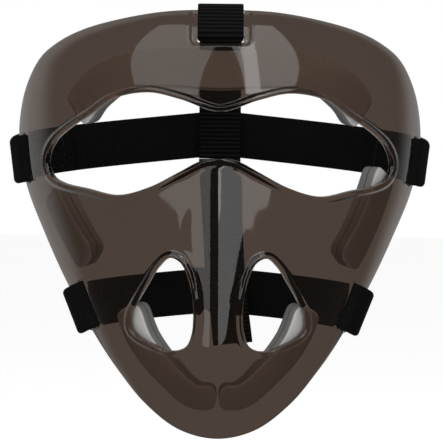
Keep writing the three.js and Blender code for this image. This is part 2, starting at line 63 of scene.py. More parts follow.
# Catmull-Rom curve at stops, which count its points; pull is 0.5 for places and 0 for directions
def curveAt(points, stops, closed=False, pull=0.5):
    points = np.asarray(points, float)
    stops = np.atleast_1d(np.asarray(stops, float))
    count = len(points)
    low = np.floor(stops).astype(int)
    if closed:
        a, b, c, d = (points[(low + k) % count] for k in (-1, 0, 1, 2))
    else:
        low = np.clip(low, 0, count - 2)
        longer = np.vstack([2 * points[0] - points[1], points, 2 * points[-1] - points[-2]])
        a, b, c, d = (longer[low + k] for k in (0, 1, 2, 3))
    share = (stops - low)[:, None]
    first, middle, last = (
        np.linalg.norm(q - p, axis=1)[:, None] ** pull for p, q in ((a, b), (b, c), (c, d))
    )
    start = ((b - a) / first - (c - a) / (first + middle)) * middle + c - b
    finish = ((d - c) / last - (d - b) / (middle + last)) * middle + c - b
    square = share * share
    cube = square * share
    return (b + start * share + (3 * (c - b) - 2 * start - finish) * square
            + (start + finish - 2 * (c - b)) * cube)


# length along a row of places, up to each
def lengthAlong(places):
    return np.concatenate([[0], np.cumsum(np.linalg.norm(np.diff(places, axis=0), axis=1))])


# the same curve, resampled at even lengths
def evenly(points, count, closed=True, finePerSpan=40):
    spans = len(points) if closed else len(points) - 1
    dense = curveAt(points, np.linspace(0, spans, spans * finePerSpan + 1), closed)
    lengths = lengthAlong(dense)
    wanted = np.linspace(0, lengths[-1], count + 1)
    even = np.column_stack([np.interp(wanted, lengths, column) for column in dense.T])
    return even[:-1] if closed else even


def smooth(share):
    share = np.clip(share, 0, 1)
    return share * share * (3 - 2 * share)


# Shell: the same sizes as the frame, with a finer skin

shell = {
    "halfWidth": 116,
    "topRise": 76.5,
    "chinDrop": 158.5,
    "templeBack": 20,
    "foreheadFront": 52,
    "faceFront": 74,
    "poleRise": 8,
    "wall": 3,
    "wrapShare": 0.95,
    "pastRimShare": 1.04,
    "rimSteps": 576,
    "noseRise": 15,
    "noseHalfWidth": 14,
    "lipRise": 1.6,
    "lipWide": 4.4,
    "lipTop": 1.7,            # where the lip is highest, away from the opening
    "lipInnerDrop": 0.3,
    "edgeRound": 1.0,         # how far the rounded edges reach in from their outline
    "edgeSteps": 8,
    "normalStep": 0.3,
    "rings": 60,
    "ringCrowding": 1.25,
    "ringLeast": 6,
    "outerRingShare": 0.994,
    "rays": 380,
    "openingRoom": 0.9,       # free of plain points beside a lip or slot, and beside the recess
    "recessRoom": 1.3,
    "rimShares": [            # right half, top to chin: across, up or down, forward
        [0, 1, 1], [0.25, 0.991, 0.96], [0.475, 0.941, 0.86], [0.66, 0.872, 0.72],
        [0.785, 0.788, 0.58], [0.877, 0.68, 0.44], [0.96, 0.456, 0.21], [0.997, 0.2, 0.03],
        [0.995, 0.027, 0], [0.955, -0.126, 0.06], [0.855, -0.3, 0.21], [0.739, -0.472, 0.375],
        [0.583, -0.668, 0.555], [0.474, -0.779, 0.667], [0.345, -0.886, 0.805],
        [0.18, -0.972, 0.92], [0, -1, 0.98],
    ],
    "noseLook": {"crest": -4.5, "halfWidth": 19.5, "flank": 0.17, "tilt": 0.22, "top": 8,
                 "foot": -116, "fade": 14, "lipGap": 3, "lipFade": 5, "edgeFade": 1.5},
    "noseShares": [           # height, rise, half width
        [0.26, 0, 1.6], [-0.03, 0.3, 1.9], [-0.14, 0.62, 1.75], [-0.25, 1, 1.3],
        [-0.31, 0.82, 1.1], [-0.4, 0.46, 0.95], [-0.56, 0.3, 0.95], [-0.78, 0, 1.1],
    ],
}

openings = {
    "eyeReach": 96,
    "eyeRise": 30,
    "eyeDrop": 25.3,
    "eyePoints": 340,
    "ventAcross": 30.5,
    "ventDown": 84.5,
    "ventHalfWidth": 17,
    "ventHalfHeight": 25.2,
    "ventPoints": 120,
    "lipRings": [1.0, 1.4, 1.8, 2.2, 2.6, 3.0, 3.4, 3.8, 4.2, 4.8, 5.6],
    "eyeShares": [            # right half, from the brow down to the bridge
        [0, 0.65], [0.22, 0.87], [0.403, 1], [0.598, 0.897], [0.736, 0.62], [0.86, 0.387],
        [0.953, 0.157], [0.995, -0.08], [1, -0.36], [0.966, -0.605], [0.9, -0.74],
        [0.76, -0.86], [0.575, -1], [0.396, -0.834], [0.22, -0.498], [0.1, -0.27], [0, -0.213],
    ],
    "ventShares": [
        [-0.25, 1], [0.09, 0.81], [0.42, 0.46], [0.765, 0.07], [0.98, -0.24], [0.99, -0.53],
        [0.78, -0.7], [0.24, -0.88], [-0.36, -1], [-0.77, -0.9], [-0.95, -0.63],
        [-1, -0.16], [-0.95, 0.2], [-0.82, 0.57], [-0.58, 0.9],
    ],
}

slots = {
    "inset": 14,
    "wide": 5,
    "long": 28.2,
    "corner": 1.8,
    "headDrop": 4,
    "jawDrop": 88,
    "crownInset": 20.5,
    "crownWide": 4.5,
    "crownLong": 25.7,
    "recessHalf": 16.4,
    "recessLow": -3.5,
    "recessHigh": 17.2,
    "recessCorner": 2.4,
    "recessDeep": 1.4,
    "recessStep": 0.8,
    "rings": [0.5, 1.0, 1.7],
    "crownRings": [0.5, 1.0],
    "points": 72,
    "searchSteps": 4001,
}


def heightOf(share, rise=shell["topRise"], drop=shell["chinDrop"]):
    share = np.asarray(share, float)
    return share * np.where(share > 0, rise, drop)


# closed outline from its right half
def mirrored(points):
    left = points[-2:0:-1].copy()
    left[:, 0] *= -1
    return np.vstack([points, left])


rimAcross, rimHeight, rimForward = np.array(shell["rimShares"]).T
rimKnots = mirrored(np.column_stack([
    rimAcross * shell["halfWidth"],
    shell["templeBack"] - rimForward * (shell["templeBack"] + shell["foreheadFront"]),
    heightOf(rimHeight),
]))
rimStops = np.linspace(0, len(rimKnots), shell["rimSteps"] + 1)
rimPoints = curveAt(rimKnots, rimStops, closed=True)
rimHalf = rimPoints[:shell["rimSteps"] // 2 + 1]
rimAngle = np.arctan2(np.abs(rimHalf[:, 0]), rimHalf[:, 2] - shell["poleRise"])
rimRadius = np.hypot(rimHalf[:, 0], rimHalf[:, 2] - shell["poleRise"])
noseRows = np.array([[float(heightOf(h)), rise, wide] for h, rise, wide in shell["noseShares"]])[::-1]


# rise and half width of the nose ridge at a height
def noseAt(z):
    low = np.clip(np.searchsorted(noseRows[:, 0], z) - 1, 0, len(noseRows) - 2)
    below, above = noseRows[low], noseRows[low + 1]
    share = smooth((z - below[..., 0]) / (above[..., 0] - below[..., 0]))[..., None]
    row = below + (above - below) * share
    return row[..., 1] * shell["noseRise"], row[..., 2] * shell["noseHalfWidth"]


# Y of the shell's outer surface at places seen from the front, with a share of its nose ridge
def depthAt(x, z, ridgeShare=1):
    angle = np.arctan2(np.abs(x), z - shell["poleRise"])
    radius = np.interp(angle, rimAngle, rimRadius)
    rimDepth = np.interp(angle, rimAngle, rimHalf[:, 1])
    reach = np.minimum(shell["pastRimShare"], np.hypot(x, z - shell["poleRise"]) / radius)
    edge = math.sqrt(1 - shell["wrapShare"] ** 2)
    dome = (np.sqrt(1 - (shell["wrapShare"] * reach) ** 2) - edge) / (1 - edge)
    rise, wide = noseAt(z)
    ridge = rise * (1 + np.cos(np.pi * np.minimum(1, np.abs(x) / wide))) / 2
    return rimDepth - (rimDepth + shell["faceFront"]) * dome - ridge * ridgeShare


def surfaceAt(x, z):
    x, z = np.broadcast_arrays(np.asarray(x, float), np.asarray(z, float))
    return np.stack([x, depthAt(x, z), z], axis=-1)


def normalAt(x, z, ridgeShare=1):
    step = shell["normalStep"]
    x, z = np.broadcast_arrays(np.asarray(x, float), np.asarray(z, float))
    slopeX = (depthAt(x + step, z, ridgeShare) - depthAt(x - step, z, ridgeShare)) / (2 * step)
    slopeZ = (depthAt(x, z + step, ridgeShare) - depthAt(x, z - step, ridgeShare)) / (2 * step)
    return unit(np.stack([slopeX, -np.ones_like(slopeX), slopeZ], axis=-1))


# The nose's flanks are shaded as the polished plastic mirrors its room: broad and even
def polishedNormalAt(x, z):
    look = shell["noseLook"]
    across = np.clip((x - look["crest"]) / look["halfWidth"], -1, 1)
    height = smooth((look["top"] - z) / look["fade"]) * smooth((z - look["foot"]) / look["fade"])
    flank = look["flank"] * np.sin(np.pi * across) * height
    tilt = look["tilt"] * (1 + np.cos(np.pi * across)) / 2 * height
    normal = normalAt(x, z, 0)
    return unit(normal + np.stack([flank, np.zeros_like(flank), tilt], axis=-1))


# directions at a slot some way in from the rim, at a height on the right or at the top middle
def slotFrame(height, inset):
    index = 0 if height is None else int(np.argmax(rimHalf[:, 2] < height))
    sides = rimStops[index] + np.array([tangentStep, -tangentStep])
    ahead, behind = curveAt(rimKnots, sides, closed=True)
    tangent = unit(ahead - behind)
    inward = unit(np.array([tangent[2], 0, -tangent[0]]))
    if inward[2] * (rimHalf[index, 2] - shell["poleRise"]) > 0:
        inward = -inward
    rim = surfaceAt(rimHalf[index, 0], rimHalf[index, 2])
    steps = np.linspace(0, inset, slots["searchSteps"])
    places = surfaceAt(rim[0] + inward[0] * steps, rim[2] + inward[2] * steps)
    place = places[np.argmin(np.abs(np.linalg.norm(places - rim, axis=1) - inset))]
    normal = normalAt(place[0], place[2])
    outward = rim - place
    outward = unit(outward - normal * (outward @ normal))
    return {"place": place, "normal": normal, "outward": outward, "rim": rim, "inset": inset,
            "along": unit(np.cross(normal, outward))}


headSlot = slotFrame(-slots["headDrop"], slots["inset"])
jawSlot = slotFrame(-slots["jawDrop"], slots["inset"])
crownSlot = slotFrame(None, slots["crownInset"])


# place over the surface between a slot and the rim, or straight on past the rim
def fromSlot(slot, share, rise):
    nearRimShare = 0.1
    place, rim = slot["place"], slot["rim"]
    spot = place + (rim - place) * min(1, share)
    back = rim + (place - rim) * nearRimShare
    onward = unit(rim - surfaceAt(back[0], back[2]))
    start = surfaceAt(spot[0], spot[2]) + normalAt(spot[0], spot[2]) * rise
    return start + onward * max(0, share - 1) * slot["inset"]


# rounded rectangle in the plane, as points from corner to corner
def roundedOutline(low, high, corner, count, cornerPoints=9):
    corners = [(high[0], high[1], 0), (low[0], high[1], 90), (low[0], low[1], 180), (high[0], low[1], 270)]
    turn = np.radians(np.linspace(0, 90, cornerPoints))
    points = []
    for x, z, start in corners:
        centre = np.array([x - math.copysign(corner, x - (low[0] + high[0]) / 2),
                           z - math.copysign(corner, z - (low[1] + high[1]) / 2)])
        angle = turn + math.radians(start)
        points.append(centre + corner * np.column_stack([np.cos(angle), np.sin(angle)]))
    points = np.vstack(points)
    loop = np.vstack([points, points[:1]])
    lengths = lengthAlong(loop)
    wanted = np.linspace(0, lengths[-1], count, endpoint=False)
    return np.column_stack([np.interp(wanted, lengths, loop[:, k]) for k in (0, 1)])


# a flat outline laid at a slot, as seen from the front
def onSlot(slot, flat, side=1):
    sideways = np.cross(slot["outward"], slot["normal"])
    points = slot["place"] + flat[:, :1] * sideways + flat[:, 1:] * slot["outward"]
    return np.column_stack([points[:, 0] * side, points[:, 2]])


# directions away from a closed outline in the plane
def awayFrom(outline):
    tangent = unit(np.roll(outline, -1, axis=0) - np.roll(outline, 1, axis=0))
    turned = np.column_stack([tangent[:, 1], -tangent[:, 0]])
    x, z = outline.T
    area = np.sum(x * np.roll(z, -1) - np.roll(x, -1) * z)
    return turned if area > 0 else -turned


def isInside(points, outline):
    x, z = points[:, :1], points[:, 1:]
    x0, z0 = outline.T
    x1, z1 = np.roll(outline, -1, axis=0).T
    notZero = 1e-12
    crosses = ((z0 > z) != (z1 > z)) & (x < (x1 - x0) * (z - z0) / (z1 - z0 + notZero) + x0)
    return crosses.sum(axis=1) % 2 == 1


# in parts, so that the table of distances stays small
def distanceTo(points, outline, partSize=2000):
    return np.concatenate([
        np.linalg.norm(part[:, None] - outline[None], axis=2).min(axis=1)
        for part in np.array_split(points, max(1, len(points) // partSize))
    ])


def lipAt(distance):
    inner = 1 - shell["lipInnerDrop"] * ((shell["lipTop"] - distance) / shell["lipTop"]) ** 2
    outer = 1 - smooth((distance - shell["lipTop"]) / (shell["lipWide"] - shell["lipTop"]))
    return shell["lipRise"] * np.where(distance < shell["lipTop"], inner, outer)


eyeKnots = np.array(openings["eyeShares"])
eyeOutline = evenly(mirrored(np.column_stack([
    eyeKnots[:, 0] * openings["eyeReach"],
    heightOf(eyeKnots[:, 1], openings["eyeRise"], openings["eyeDrop"]),
])), openings["eyePoints"])


def ventOutline(side):
    across, height = np.array(openings["ventShares"]).T
    return evenly(np.column_stack([
        side * (openings["ventAcross"] + across * openings["ventHalfWidth"]),
        height * openings["ventHalfHeight"] - openings["ventDown"],
    ]), openings["ventPoints"])


def makeMesh(name, points, faces, material):
    mesh = bpy.data.meshes.new(name)
    mesh.from_pydata((np.asarray(points) * mm).tolist(), [], faces)
    mesh.shade_smooth()
    mesh.materials.append(material)
    piece = bpy.data.objects.new(name, mesh)
    bpy.context.scene.collection.objects.link(piece)
    return piece


# Outlines that bound the skin, as seen from the front

def ringAt(count):
    return evenly(rimKnots, count)[:, [0, 2]]


# the rim drawn in by the round of its edge
def drawnIn(rim, nearShare=0.99):
    near = pole + (rim - pole) * nearShare
    apart = surfaceAt(rim[:, 0], rim[:, 1]) - surfaceAt(near[:, 0], near[:, 1])
    sharePerLength = (1 - nearShare) / np.linalg.norm(apart, axis=1)
    return pole + (rim - pole) * (1 - sharePerLength * shell["edgeRound"])[:, None]


pole = np.array([0, shell["poleRise"]])
rimOutline = ringAt(shell["rays"])
rimRing = drawnIn(rimOutline)
lipped = [eyeOutline, ventOutline(1), ventOutline(-1)]
slotHalf = np.array([slots["long"], slots["wide"]]) / 2
crownHalf = np.array([slots["crownLong"], slots["crownWide"]]) / 2
sideHole, crownHole = (
    roundedOutline(-half, half, slots["corner"], slots["points"]) for half in (slotHalf, crownHalf)
)
slotOutlines = [onSlot(slot, sideHole, side) for slot in (headSlot, jawSlot) for side in (1, -1)]
slotOutlines.append(onSlot(crownSlot, crownHole))
recessLow = np.array([-slots["recessHalf"], slots["recessLow"]])
recessHigh = np.array([slots["recessHalf"], slots["recessHigh"]])
recessRings = [
    onSlot(crownSlot, roundedOutline(recessLow + inset, recessHigh - inset, slots["recessCorner"],
                                     2 * slots["points"]))
    for inset in (0, slots["recessStep"] / 2, slots["recessStep"])
]


# The skin is laid out flat as seen from the front: points with their lift off the dome, edges that
# the triangles must keep, holes, and the loops that get a rounded edge
def layOut():
    points, lifts, edges, holes, clear = [], [], [], [], []

    def addPoints(places, lift, chain=False):
        start = sum(len(part) for part in points)
        points.append(places)
        lifts.append(np.broadcast_to(lift, len(places)))
        if chain:
            count = len(places)
            edges.extend((start + k, start + (k + 1) % count) for k in range(count))
        return np.arange(start, start + len(places))

    loops = [(addPoints(rimRing, 0, chain=True), surfaceAt(rimOutline[:, 0], rimOutline[:, 1]))]
    for outline, rings, isLipped in (
        *((outline, openings["lipRings"], True) for outline in lipped),
        *((outline, slots["rings"], False) for outline in slotOutlines[:-1]),
        (slotOutlines[-1], slots["crownRings"], False),
    ):
        away = awayFrom(outline)
        floor = -slots["recessDeep"] if outline is slotOutlines[-1] else 0
        for index, ring in enumerate(rings):
            lift = lipAt(ring) if isLipped else floor
            ids = addPoints(outline + away * ring, lift, chain=index == 0)
            if index == 0:
                loops.append((ids, surfaceAt(outline[:, 0], outline[:, 1])))
        holes.append(outline + away * rings[0])
        clear.append((outline, (openings["lipRings"] if isLipped else slots["rings"])[-1]))

    # the recess's step keeps its two edges, and its middle is only points
    for ring, share, isEdge in zip(recessRings, (0, 0.5, 1), (True, False, True)):
        addPoints(ring, -slots["recessDeep"] * share, chain=isEdge)

    inner = []
    for step in range(1, shell["rings"]):
        reach = 1 - (step / shell["rings"]) ** shell["ringCrowding"]
        ring = ringAt(max(shell["ringLeast"], round(shell["rays"] * reach)))
        inner.append(pole + (ring - pole) * min(reach, shell["outerRingShare"]))
    inner = np.vstack([*inner, pole[None]])
    keep = distanceTo(inner, recessRings[0]) > shell["recessRoom"]
    for outline, reach in clear:
        keep &= ~isInside(inner, outline) & (distanceTo(inner, outline) > reach + shell["openingRoom"])
    inner = inner[keep]
    addPoints(inner, np.where(isInside(inner, recessRings[0]), -slots["recessDeep"], 0))
    return np.vstack(points), np.concatenate(lifts), edges, holes, loops


# triangles between the rim and the openings; back leads from a laid out point to its new index
def triangulate(flat, lifts, edges, holes, mergeWithin=1e-5):
    result = geometry.delaunay_2d_cdt([Vector(p) for p in flat.tolist()], edges, [], 0, mergeWithin)
    found, faces, origins = result[0], result[2], result[3]
    back = {origin[0]: index for index, origin in enumerate(origins) if origin}
    place = np.array([tuple(v) for v in found])
    lift = np.array([lifts[origin[0]] if origin else 0 for origin in origins])
    triangles = np.array(faces)
    centre = place[triangles].mean(axis=1)
    good = isInside(centre, rimRing)
    for hole in holes:
        good &= ~isInside(centre, hole)
    triangles = triangles[good]
    a, b, c = (place[triangles[:, k]] for k in range(3))
    area = (b[:, 0] - a[:, 0]) * (c[:, 1] - a[:, 1]) - (b[:, 1] - a[:, 1]) * (c[:, 0] - a[:, 0])
    triangles[area < 0] = triangles[area < 0][:, ::-1]
    return place, lift, back, triangles


# on the plain skin the dome's exact normals, with the polished ones on the nose
def polish(piece, place, normal):
    look = shell["noseLook"]
    count = len(place)
    shading = np.zeros(3 * len(piece.data.vertices))
    piece.data.vertices.foreach_get("normal", shading)
    shading = shading.reshape(-1, 3)
    fromVents = np.minimum(distanceTo(place, lipped[1]), distanceTo(place, lipped[2]))
    isOpen = smooth((fromVents - look["lipGap"]) / look["lipFade"])[:, None]
    polished = unit(normal + (polishedNormalAt(place[:, 0], place[:, 1]) - normal) * isOpen)
    isPlain = np.ones((count, 1))
    for outline, width in (
        *((outline, shell["lipWide"]) for outline in lipped),
        *((outline, 0) for outline in (*slotOutlines, rimRing, recessRings[0])),
    ):
        isPlain *= smooth((distanceTo(place, outline) - width) / look["edgeFade"])[:, None]
    shading[:count] += (polished - shading[:count]) * isPlain
    shading[count:2 * count] -= (polished + shading[count:2 * count]) * isPlain
    piece.data.normals_split_custom_set_from_vertices(unit(shading).tolist())


# the layout lifted onto the dome as an outer and an inner skin, joined by rounded edges
def addShell(material):
    flat, lifts, edges, holes, loops = layOut()
    place, lift, back, triangles = triangulate(flat, lifts, edges, holes)
    surface = surfaceAt(place[:, 0], place[:, 1])
    normal = normalAt(place[:, 0], place[:, 1])
    outer = surface + normal * lift[:, None]
    inner = surface - normal * shell["wall"]
    count = len(place)
    everything = [outer, inner]
    skin = [*triangles.tolist(), *(triangles[:, ::-1] + count).tolist()]
    total = 2 * count
    for ids, edge in loops:
        ids = np.array([back[i] for i in ids])
        x, z = place[ids].T
        turn = np.sum(x * np.roll(z, -1) - np.roll(x, -1) * z)
        isRim = ids[0] == back[0]
        middle, spread = (outer[ids] + inner[ids]) / 2, (outer[ids] - inner[ids]) / 2
        reach = edge - surface[ids]
        rows = [ids]
        for step in range(1, shell["edgeSteps"]):
            angle = math.pi * step / shell["edgeSteps"]
            everything.append(middle + spread * math.cos(angle) + reach * math.sin(angle))
            rows.append(np.arange(total, total + len(ids)))
            total += len(ids)
        rows.append(ids + count)
        isForward = (turn > 0) == isRim
        for first, second in zip(rows, rows[1:]):
            nextFirst, nextSecond = np.roll(first, -1), np.roll(second, -1)
            strip = np.column_stack([first, second, nextSecond, nextFirst])
            skin.extend((strip if isForward else strip[:, ::-1]).tolist())
    piece = makeMesh("smoked_face_shell", np.vstack(everything), skin, material)
    polish(piece, place, normal)
    return piece


# Materials

def addNode(tree, kind, inputs=None, **settings):
    node = tree.nodes.new(kind)
    for name, value in settings.items():
        setattr(node, name, value)
    for socket, value in (inputs or {}).items():
        if isinstance(value, bpy.types.NodeSocket):
            tree.links.new(value, node.inputs[socket])
        else:
            node.inputs[socket].default_value = value
    return node


def calc(tree, operation, *values):
    return addNode(tree, "ShaderNodeMath", dict(enumerate(values)), operation=operation).outputs[0]


# a group that takes a place and some numbers, and gives numbers
def newGroup(name, numbers, results):
    tree = bpy.data.node_groups.new(name, "ShaderNodeTree")
    tree.interface.new_socket("Vector", in_out="INPUT", socket_type="NodeSocketVector")
    for labels, direction in ((numbers, "INPUT"), (results, "OUTPUT")):
        for label in labels:
            tree.interface.new_socket(label, in_out=direction, socket_type="NodeSocketFloat")
    return tree, tree.nodes.new("NodeGroupInput").outputs


def closeGroup(tree, **results):
    addNode(tree, "NodeGroupOutput", results)
    return tree


def setGroup(tree, group, inputs):
    return addNode(tree, "ShaderNodeGroup", inputs, node_tree=group).outputs


def noiseAt(tree, place, scale, detail):
    inputs = {"Vector": place, "Scale": scale, "Detail": detail}
    return addNode(tree, "ShaderNodeTexNoise", inputs).outputs[0]


# a value's share between two ends, from one level to another
def remap(tree, value, ends=(0.0, 1.0), levels=(0.0, 1.0), shape="LINEAR"):
    return addNode(tree, "ShaderNodeMapRange", {
        "Value": value, "From Min": ends[0], "From Max": ends[1], "To Min": levels[0], "To Max": levels[1],
    }, interpolation_type=shape).outputs[0]


# from -1 to 1 across each yarn or rib
def centred(tree, count):
    return calc(tree, "SUBTRACT", calc(tree, "MULTIPLY", calc(tree, "FRACT", count), 2.0), 1.0)


# the same, with every second row moved by half
def staggered(tree, along, pitch, row):
    shift = calc(tree, "MULTIPLY", calc(tree, "FLOOR", row), 0.5)
    return centred(tree, calc(tree, "ADD", calc(tree, "DIVIDE", along, pitch), shift))


def rounded(tree, across):
    return calc(tree, "SUBTRACT", 1.0, calc(tree, "MULTIPLY", across, across))


def weighted(tree, first, firstShare, second, secondShare):
    return calc(tree, "ADD", calc(tree, "MULTIPLY", first, firstShare),
                calc(tree, "MULTIPLY", second, secondShare))


def newMaterial(name, color, roughness, **sockets):
    material = bpy.data.materials.new(name)
    material.use_nodes = True
    tree = material.node_tree
    shader = tree.nodes["Principled BSDF"]
    shader.inputs["Base Color"].default_value = (*color, 1)
    shader.inputs["Roughness"].default_value = roughness
    for socket, value in sockets.items():
        shader.inputs[socket].default_value = value
    return material, tree, shader


# Weaves and grains; their places and pitches are in metres

grains = {
    "twillTurn": math.radians(-27),
    "twillPitch": 0.00115,
    "tabTurn": math.radians(-50),
    "tabPitch": 0.00125,
    "ribPitch": 0.0025,
    "yarnPitch": 0.0011,
    "hookPitch": 0.0016,
    "foamCell": 0.0006,
    "beadPower": 4.0,
    "beadDeep": 0.55,
    "twillFibre": (900.0, 3.0),           # each noise's scale and detail
    "twillMottle": (60.0, 2.0),
    "twillShade": 0.35,
    "fibreShare": 0.7,
    "mottleShare": 0.6,
    "ribFibre": (1100.0, 3.0),
    "yarnShare": 0.7,
    "ribShade": 0.5,
    "foamGrain": (420.0, 4.0),
    "foamBlotch": (45.0, 3.0),
    "cellShare": 0.6,
    "grainShare": 0.5,
    "blotchShare": 0.7,
    "hookStray": 0.15,
    "hookSharp": 2.2,
    "swell": (28.0, 1.0),
    "scratchDetail": 1.0,
    "scratchCut": 0.77,
    "scratchStretch": 0.03,
    "scratchAxis": (0.3, 1.0, 0.7),
    "scratches": [(0.5, 1560.0), (2.1, 2040.0), (3.9, 1140.0)],       # turn and scale
}


# diagonal ribs of a twill weave across a strap's own length and width; its Shade, the colour it gives, is
# painted shade, darker in the hollows between ribs and yarns, with random fibre tone
def makeTwillGroup():
    tree, given = newGroup("twillWeave", ["Angle", "Pitch"], ["Height", "Shade"])
    turned = addNode(tree, "ShaderNodeVectorRotate", {"Vector": given["Vector"], "Angle": given["Angle"]},
                     rotation_type="Z_AXIS").outputs[0]
    split = addNode(tree, "ShaderNodeSeparateXYZ", {0: turned}).outputs
    row = calc(tree, "DIVIDE", split["Y"], given["Pitch"])
    rib = rounded(tree, centred(tree, row))
    yarn = calc(tree, "ABSOLUTE", staggered(tree, split["X"], given["Pitch"], row))
    dip = calc(tree, "MULTIPLY", calc(tree, "POWER", yarn, grains["beadPower"]), grains["beadDeep"])
    height = calc(tree, "MULTIPLY", rib, calc(tree, "SUBTRACT", 1.0, dip))
    fibre = noiseAt(tree, given["Vector"], *grains["twillFibre"])
    mottle = noiseAt(tree, given["Vector"], *grains["twillMottle"])
    fluff = weighted(tree, fibre, grains["fibreShare"], mottle, grains["mottleShare"])
    # painted shade: the colour follows the ribs' height, times random fibre tone
    shade = calc(tree, "MULTIPLY", height, calc(tree, "ADD", grains["twillShade"], fluff))
    return closeGroup(tree, Height=height, Shade=shade)


# short yarns between the ribs of grosgrain webbing; its Shade is painted light on the rib crests and yarns
# and painted shade between them, with random fibre tone
def makeTickGroup():
    tree, given = newGroup("ribYarns", ["Rib Pitch", "Yarn Pitch"], ["Height", "Shade"])
    split = addNode(tree, "ShaderNodeSeparateXYZ", {0: given["Vector"]}).outputs
    rib = calc(tree, "DIVIDE", split["X"], given["Rib Pitch"])
    yarn = rounded(tree, staggered(tree, split["Y"], given["Yarn Pitch"], rib))
    turn = calc(tree, "MULTIPLY", calc(tree, "FRACT", rib), 2 * math.pi)
    crest = calc(tree, "ADD", 0.5, calc(tree, "MULTIPLY", calc(tree, "COSINE", turn), -0.5))
    fibre = noiseAt(tree, given["Vector"], *grains["ribFibre"])
    height = weighted(tree, yarn, grains["yarnShare"], crest, 1 - grains["yarnShare"])
    # painted light on the crests and yarns, painted shade between them
    lit = calc(tree, "MULTIPLY", crest, yarn)
    shade = calc(tree, "MULTIPLY", lit, calc(tree, "ADD", grains["ribShade"], fibre))
    return closeGroup(tree, Height=height, Shade=shade)


# fine closed cells and soft blotches of cut foam
def makeCellGroup():
    tree, given = newGroup("foamCells", ["Cell"], ["Height", "Shade"])
    place = given["Vector"]
    scale = calc(tree, "DIVIDE", 1.0, given["Cell"])
    cell = addNode(tree, "ShaderNodeTexVoronoi", {"Vector": place, "Scale": scale}).outputs["Distance"]
    grain = noiseAt(tree, place, *grains["foamGrain"])
    blotch = noiseAt(tree, place, *grains["foamBlotch"])
    height = weighted(tree, cell, grains["cellShare"], grain, grains["grainShare"])
    shade = weighted(tree, blotch, grains["blotchShare"], grain, 1 - grains["blotchShare"])
    return closeGroup(tree, Height=height, Shade=shade)


# hair scratches and a faint unevenness of moulded plastic
def makeWearGroup():
    tree, given = newGroup("plasticWear", [], ["Scratches", "Swell"])
    marks = 0.0
    for turn, scale in grains["scratches"]:
        turned = addNode(tree, "ShaderNodeMapping", {
            "Vector": given["Vector"],
            "Rotation": [part * turn for part in grains["scratchAxis"]],
            "Scale": (1.0, grains["scratchStretch"], grains["scratchStretch"]),
        }).outputs[0]
        noise = noiseAt(tree, turned, scale, grains["scratchDetail"])
        marks = calc(tree, "MAXIMUM", marks, calc(tree, "GREATER_THAN", noise, grains["scratchCut"]))
    return closeGroup(tree, Scratches=marks, Swell=noiseAt(tree, given["Vector"], *grains["swell"]))


# rows of small hooks on the closing tape; their height also sets the tape's colour, as painted highlights
# on the hook tops and painted shade between them
def makeHookGroup():
    tree, given = newGroup("hookRows", ["Pitch"], ["Height"])
    dot = addNode(tree, "ShaderNodeTexVoronoi", {
        "Vector": given["Vector"],
        "Scale": calc(tree, "DIVIDE", 1.0, given["Pitch"]),
        "Randomness": grains["hookStray"],
    }, voronoi_dimensions="2D").outputs["Distance"]
    height = calc(tree, "SUBTRACT", 1.0, calc(tree, "MULTIPLY", dot, grains["hookSharp"]))
    return closeGroup(tree, Height=calc(tree, "MAXIMUM", height, 0.0))


def blend(tree, share, low, high):
    ends = [end if isinstance(end, bpy.types.NodeSocket) else (*end, 1) for end in (low, high)]
    return addNode(tree, "ShaderNodeMix", {0: share, 6: ends[0], 7: ends[1]}, data_type="RGBA").outputs[2]


def between(tree, share, low, high):
    return addNode(tree, "ShaderNodeMix", {0: share, 2: low, 3: high}).outputs[0]


def addBump(tree, shader, height, strength, distance):
    bump = addNode(tree, "ShaderNodeBump", {"Height": height, "Strength": strength, "Distance": distance})
    tree.links.new(bump.outputs[0], shader.inputs["Normal"])


finishes = {
    "smoke": (0.53, 0.385, 0.3),
    "smokeDrift": 0.04,
    "smokeIndex": 1.15,       # low, so that the nose ridge doesn't double what is behind it
    "gloss": {"Coat Weight": 1.0, "Coat IOR": 1.58, "Coat Roughness": 0.045},
    "scratchRoughness": (0.02, 0.12),
    "swellBump": (0.03, 0.0006),          # each bump's strength and its height in metres
    "foamDark": (0.14, 0.134, 0.129),
    "foamLight": (0.205, 0.198, 0.192),
    "foamSeam": (0.06, 0.058, 0.056),
    # the pads' front faces, behind the shell, made pale as painted light where too little light reaches
    # them
    "foamFrontPaintedLight": (0.5, 0.5, 0.495),
    "foamRoughness": 0.92,
    "foamBump": (0.35, 0.0004),
    "seamLayer": 0.5,
    "seamEnds": (0.018, 0.045),           # where the seam and the front face's painted light fade, in shares of the pad
    "frontPaintedLightEnds": (0.03, 0.08),
    "seamDeep": 2.0,
    # each cloth's dark is the painted shade in its hollows, and its light the painted light on its yarns or
    # hooks
    "elastic": {"dark": (0.0004, 0.0004, 0.0004), "light": (0.009, 0.009, 0.009),
                "roughness": 0.62, "bump": (0.7, 0.0004)},
    "webbing": {"dark": (0.0015, 0.0015, 0.0015), "light": (0.013, 0.013, 0.013),
                "roughness": 0.55, "bump": (0.6, 0.0003)},
    "hook": {"dark": (0.008, 0.0085, 0.01), "light": (0.05, 0.053, 0.062),
             "roughness": 0.45, "bump": (0.9, 0.0008)},
    "hollowRoughness": 0.95,              # between the yarns or hooks
    "clothSpecular": 0.05,
    # the thread's dark and light are painted shade in its twist's grooves and painted light on its ridges
    "threadDark": (0.005, 0.005, 0.005),
    "threadLight": (0.03, 0.03, 0.031),
    "threadRoughness": 0.55,
    "threadTwist": {"Scale": 900.0, "Distortion": 2.0},
    "threadBump": (0.5, 0.0001),
}


